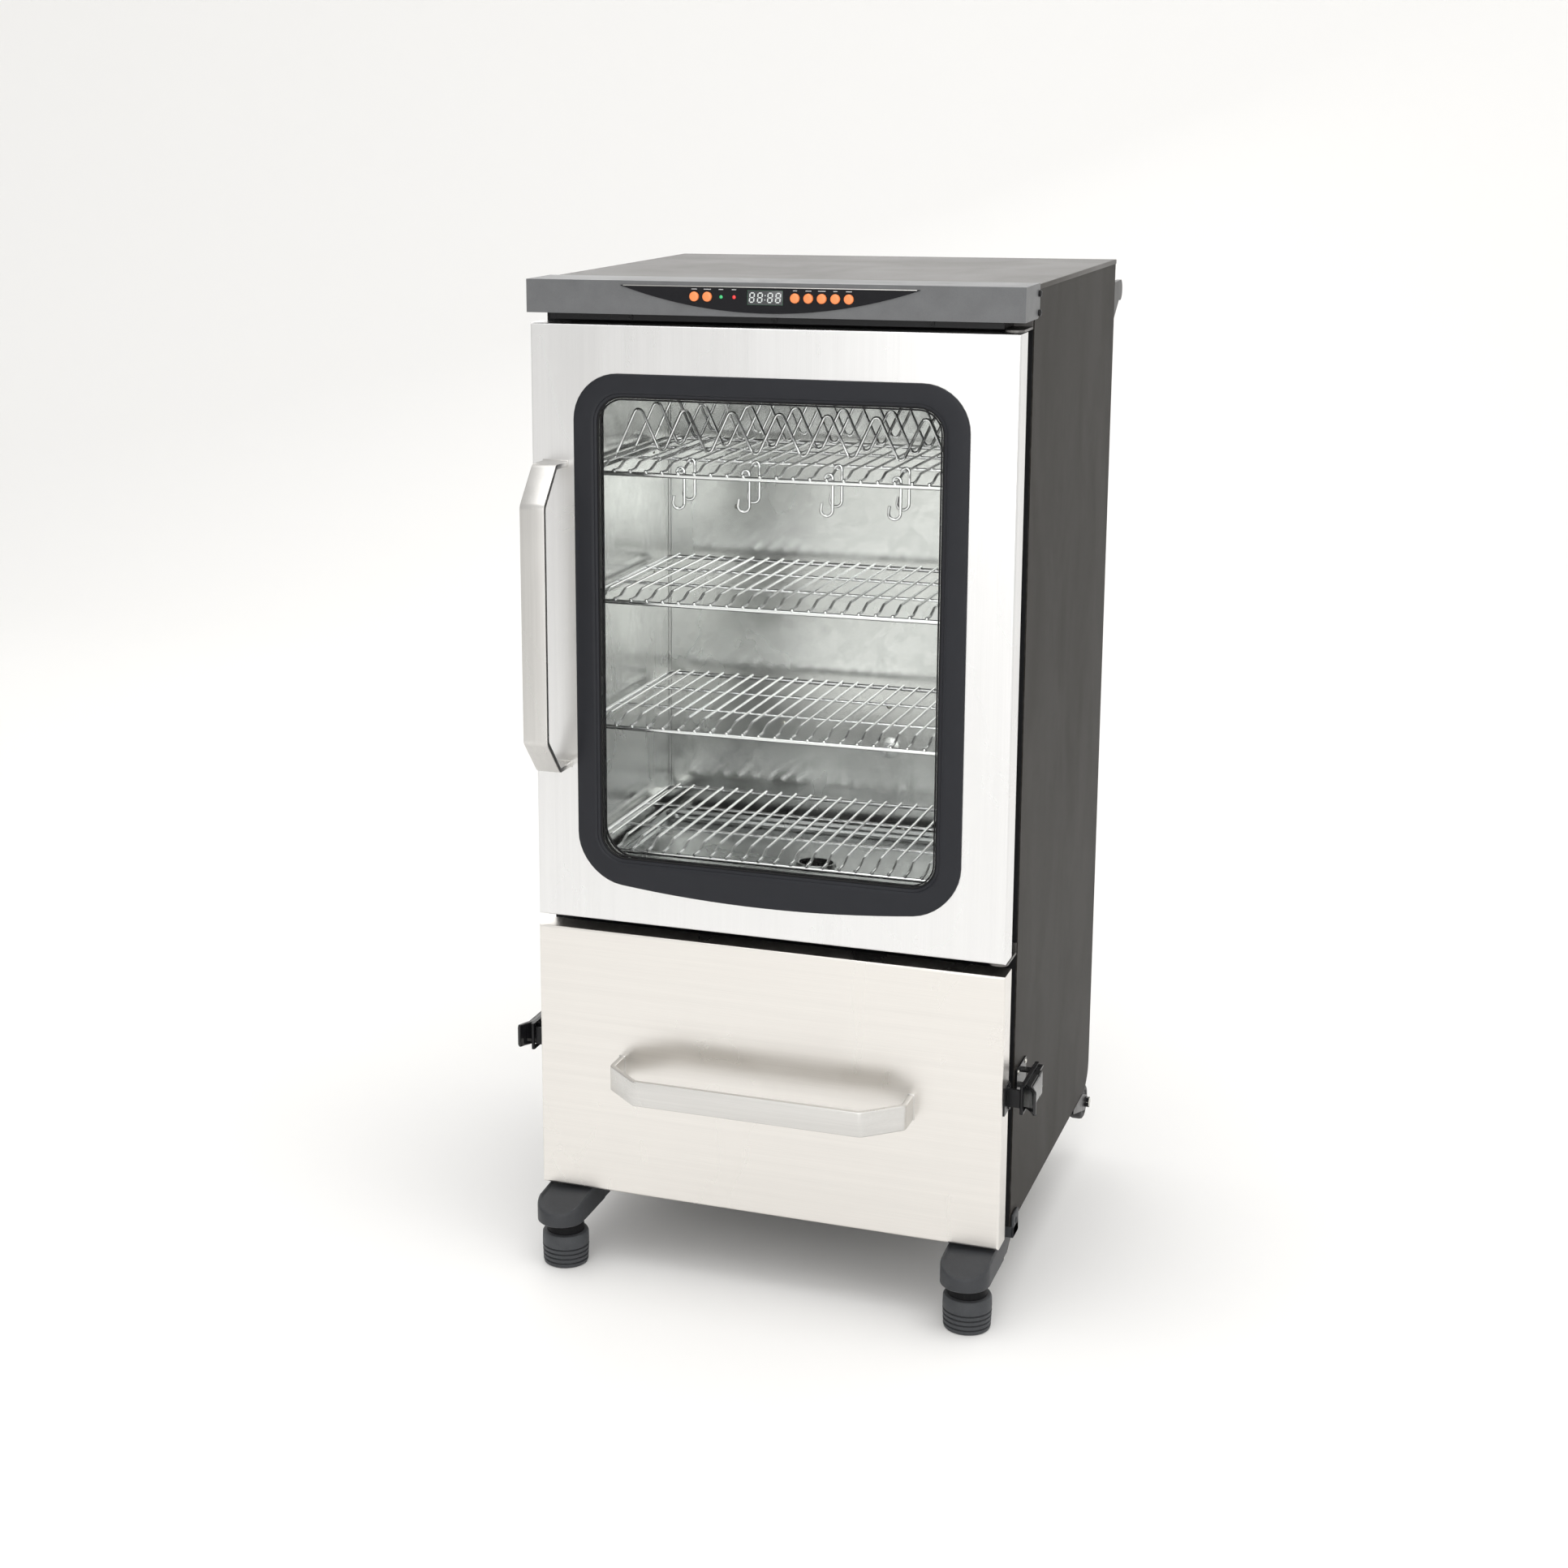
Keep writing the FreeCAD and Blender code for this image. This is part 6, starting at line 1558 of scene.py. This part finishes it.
    def build_pad(self, shop: Workshop, side: str) -> None:
        """Ribbed pad with a smooth band, and its collar and screw."""
        node = f"leveling_pad_{side}"
        box = Box.of(node)
        r, top, band = 26.5 * MM, 26 * MM, 39 * MM
        profile = [(0, 0), (r - 3.5 * MM, 0), (r - 1.8 * MM, 0.6 * MM), (r - 1.2 * MM, 2 * MM)]
        for level in self.groove_levels:
            lean = (level / top) * 1.2 * MM
            profile += [(r - 1.2 * MM + lean, level - 2.4 * MM), (r - 1.0 * MM + lean, level - 1.1 * MM),
                        (r - 3.2 * MM + lean, level - 0.3 * MM), (r - 3.2 * MM + lean, level + 0.3 * MM),
                        (r - 1.1 * MM + lean, level + 1.1 * MM)]
        profile += [(r - 0.1 * MM, top - 1.4 * MM), (r, top), (r - 0.3 * MM, band - 3 * MM),
                    (r - 1.4 * MM, band - 0.9 * MM),
                    (r - 3.6 * MM, band), (0, band)]
        spot = (box.centre.x, box.centre.y, 0)
        shop.make(f"pad_{side}", lathe(profile, spot, (0, 0, 1), 64), PAD_RUBBER, f"foot_{side}", [node])
        # The collar takes a near-black copy of the pad rubber: painted shade under the leg.
        collar = [(r - 5.0 * MM, band - 1 * MM), (r - 5.2 * MM, band + 5 * MM), (r - 6.4 * MM, 54.4 * MM),
                  (6 * MM, 54.4 * MM), (6 * MM, 78 * MM),
                  (5.2 * MM, 79.5 * MM), (0, 79.5 * MM)]
        shop.make(f"pad_collar_{side}", lathe(collar, spot, (0, 0, 1), 48), COLLAR_PAINTED_SHADE, f"foot_{side}",
                  [node])

    @staticmethod
    def build_roller(shop: Workshop, side: str) -> None:
        """Roller with a rounded tread and a recessed hub, and the bolt that carries it."""
        sign = 1 if side == "right" else -1
        node = f"wheel_{side}"
        box = Box.of(node)
        half, r = (box.high.x - box.low.x) / 2, (box.high.z - box.low.z) / 2
        profile = [(4.1 * MM, -half), (8 * MM, -half), (9 * MM, -half + 1.5 * MM),
                   (14 * MM, -half + 1.5 * MM),
                   (15.5 * MM, -half), (r - 3 * MM, -half), (r - 0.8 * MM, -half + 1.4 * MM),
                   (r, -half + 4 * MM)]
        whole = profile + [(radius, -height) for radius, height in reversed(profile)]
        rings = lathe(whole, box.centre, (1, 0, 0), 56)
        shop.make(f"roller_{side}_tyre", rings, TYRE_RUBBER, f"roller_{side}", [node])
        x = sign * (Box.of("wheel_brackets").high.x)
        bolt = [(6.6 * MM, -3.5 * MM), (6.6 * MM, -0.6 * MM), (5.8 * MM, 0.4 * MM), (0, 0.7 * MM)]
        shop.make(f"axle_bolt_{side}", lathe(bolt, (x, box.centre.y, box.centre.z), (sign, 0, 0), 6),
                  ZINC_BOLT,
                  "cabinet")


@dataclass
class BackFittings:
    """Grip, smoke outlet, damper and mains inlet on the back."""

    sleeve_rings: int = 34

    def build(self, shop: Workshop) -> None:
        """Builds the back fittings."""
        shop.dress(BLACK_PLASTIC, "rear_handle", "vent_duct", "vent_damper", "power_inlet")
        grip = Box.of("rear_handle")
        spot = Vector((0, grip.high.y - 12 * MM, grip.high.z - 12 * MM))
        length, r = 400 * MM, 9.2 * MM
        profile = [(7.8 * MM, -length / 2 - 1 * MM), (r, -length / 2)]
        for i in range(self.sleeve_rings):
            at = -length / 2 + 6 * MM + (length - 12 * MM) * i / (self.sleeve_rings - 1)
            profile += [(r, at - 2.4 * MM), (r - 0.9 * MM, at - 1.4 * MM), (r - 0.9 * MM, at + 1.4 * MM),
                        (r, at + 2.4 * MM)]
        profile += [(r, length / 2), (7.8 * MM, length / 2 + 1 * MM)]
        shop.make("grip_sleeve", lathe(profile, spot, (1, 0, 0), 32), SEAL_RUBBER, "cabinet")
        self.build_fixings(shop)

    @staticmethod
    def build_fixings(shop: Workshop) -> None:
        """Screws of the grip feet, vent flange and inlet."""
        grip, duct, inlet = Box.of("rear_handle"), Box.of("vent_duct"), Box.of("power_inlet")
        wall = Box.of("back_shell").high.y
        heads = []
        for sign in (1, -1):
            heads += [screw_head((sign * 250 * MM, wall + 3 * MM, grip.centre.z + dz),
                                 (0, 1, 0)) for dz in (8 * MM, -12 * MM)]
        for turn in (45, 135, 225, 315):
            a = math.radians(turn)
            heads.append(screw_head((duct.centre.x + 42 * MM * math.cos(a), wall + 3 * MM,
                                     duct.centre.z + 42 * MM * math.sin(a)), (0, 1, 0), 1.9 * MM))
        for sign in (1, -1):
            heads.append(screw_head((inlet.centre.x + sign * 28 * MM, wall + 2.5 * MM, inlet.centre.z),
                                    (0, 1, 0), 2.2 * MM))
        shop.make("back_fitting_screws", joined(heads), ZINC_BOLT, "cabinet")


# ---------------------------------------------------------------- studio
@dataclass
class Studio:
    """Pale sweep, soft lights, world and camera."""

    eye: Triple = (0.8002, -2.7244, 1.2898)
    yaw: float = 21.29
    pitch: float = 12.68
    roll: float = -0.51
    lens: float = 58.19
    shift: tuple[float, float] = (0.1066, -0.0704)
    floor_half: float = 30.0
    wall_y: float = 4.5
    curve: float = 1.8
    wall_top: float = 9.0

    def build(self) -> None:
        """Builds the whole studio."""
        self.build_sweep()
        self.build_world()
        self.build_lights()
        self.build_camera()
        settings = bpy.context.scene.view_settings
        settings.view_transform = "Standard"
        settings.exposure = 0.0

    def build_sweep(self) -> None:
        """Floor that curves up into a wall behind the cabinet."""
        line = [(-self.floor_half, 0.0)]
        for k in range(17):
            a = math.pi / 2 * k / 16
            line.append((self.wall_y - self.curve + self.curve * math.sin(a),
                         self.curve - self.curve * math.cos(a)))
        line.append((self.wall_y, self.wall_top))
        points, faces = [], []
        for y, z in line:
            points += [(-self.floor_half, y, z), (self.floor_half, y, z)]
        for i in range(len(line) - 1):
            faces.append((2 * i, 2 * i + 1, 2 * i + 3, 2 * i + 2))
        mesh = bpy.data.meshes.new("studio_sweep")
        mesh.from_pydata(points, [], faces)
        mesh.polygons.foreach_set("use_smooth", [True] * len(mesh.polygons))
        paper = bpy.data.materials.new("studio_paper")
        paper.use_nodes = True
        shader = paper.node_tree.nodes["Principled BSDF"]
        shader.inputs["Base Color"].default_value = (0.93, 0.925, 0.915, 1)
        shader.inputs["Roughness"].default_value = 0.9
        mesh.materials.append(paper)
        sweep_piece = bpy.data.objects.new("studio_sweep", mesh)
        bpy.context.scene.collection.objects.link(sweep_piece)

    @staticmethod
    def build_world() -> None:
        """Even pale surroundings that fall off towards the far left."""
        world = bpy.data.worlds.new("studio_world")
        bpy.context.scene.world = world
        world.use_nodes = True
        world.node_tree.nodes.clear()
        graph = Graph(world.node_tree)
        way = graph.add("TexCoord").outputs["Generated"]
        left = graph.add("SeparateXYZ", {0: way}).outputs[0]
        share = graph.add("MapRange", {0: left, 1: -0.62, 2: -0.22, 3: 0.68, 4: 0.98},
                          interpolation_type="SMOOTHSTEP").outputs[0]
        background = graph.add("Background", {0: (1.0, 0.995, 0.985, 1.0), 1: share})
        graph.add("OutputWorld", {0: background.outputs[0]})

    @staticmethod
    def build_lights() -> None:
        """Large soft panels: overhead, front, right and behind."""
        panels = (("overhead", (0.2, -0.4, 3.2), (0, 0, 0.6), 3.0, 3.0, 36.0),
                  ("front", (0.9, -3.7, 1.45), (0.9, 0, 1.45), 3.0, 2.4, 30.0),
                  ("right", (3.4, -1.2, 1.7), (0.2, 0, 0.6), 2.0, 2.0, 5.0),
                  ("behind", (-1.2, 3.2, 2.6), (0, 0.2, 0.7), 2.4, 2.4, 18.0))
        for name, place, target, width, height, power in panels:
            light = bpy.data.lights.new(name, "AREA")
            light.shape = "RECTANGLE"
            light.size, light.size_y = width, height
            light.energy = power
            lamp = bpy.data.objects.new(name, light)
            lamp.location = place
            lamp.rotation_euler = (Vector(target) - Vector(place)).to_track_quat("-Z", "Y").to_euler()
            lamp.visible_camera = False
            bpy.context.scene.collection.objects.link(lamp)

    def build_camera(self) -> None:
        """Camera to the right of the door, a little above the top."""
        yaw, pitch, roll = (math.radians(a) for a in (self.yaw, self.pitch, self.roll))
        ahead = Vector((-math.sin(yaw) * math.cos(pitch), math.cos(yaw) * math.cos(pitch), -math.sin(pitch)))
        right = Vector((math.cos(yaw), math.sin(yaw), 0))
        up = right.cross(ahead)
        tilted_right = right * math.cos(roll) + up * math.sin(roll)
        tilted_up = up * math.cos(roll) - right * math.sin(roll)
        turn = Matrix((tilted_right, tilted_up, -ahead)).transposed()
        data = bpy.data.cameras.new("camera")
        data.sensor_width = 36
        data.lens = self.lens
        data.shift_x, data.shift_y = self.shift
        data.clip_start, data.clip_end = 0.05, 60
        camera = bpy.data.objects.new("camera", data)
        camera.matrix_world = Matrix.Translation(self.eye) @ turn.to_4x4()
        bpy.context.scene.collection.objects.link(camera)
        bpy.context.scene.camera = camera


def main() -> None:
    """Builds every sub-assembly in order, then the studio."""
    logging.basicConfig(level=logging.INFO, format="%(message)s")
    shop = Workshop(frame)
    for assembly in (Cabinet(), Chamber(), ControlHead(), Door(), Drawer(), Latches(), Support(),
                     BackFittings()):
        assembly.build(shop)
        log.info("%s done, %d pieces so far", type(assembly).__name__, shop.count)
    Studio().build()


if __name__ == "__main__":
    main()
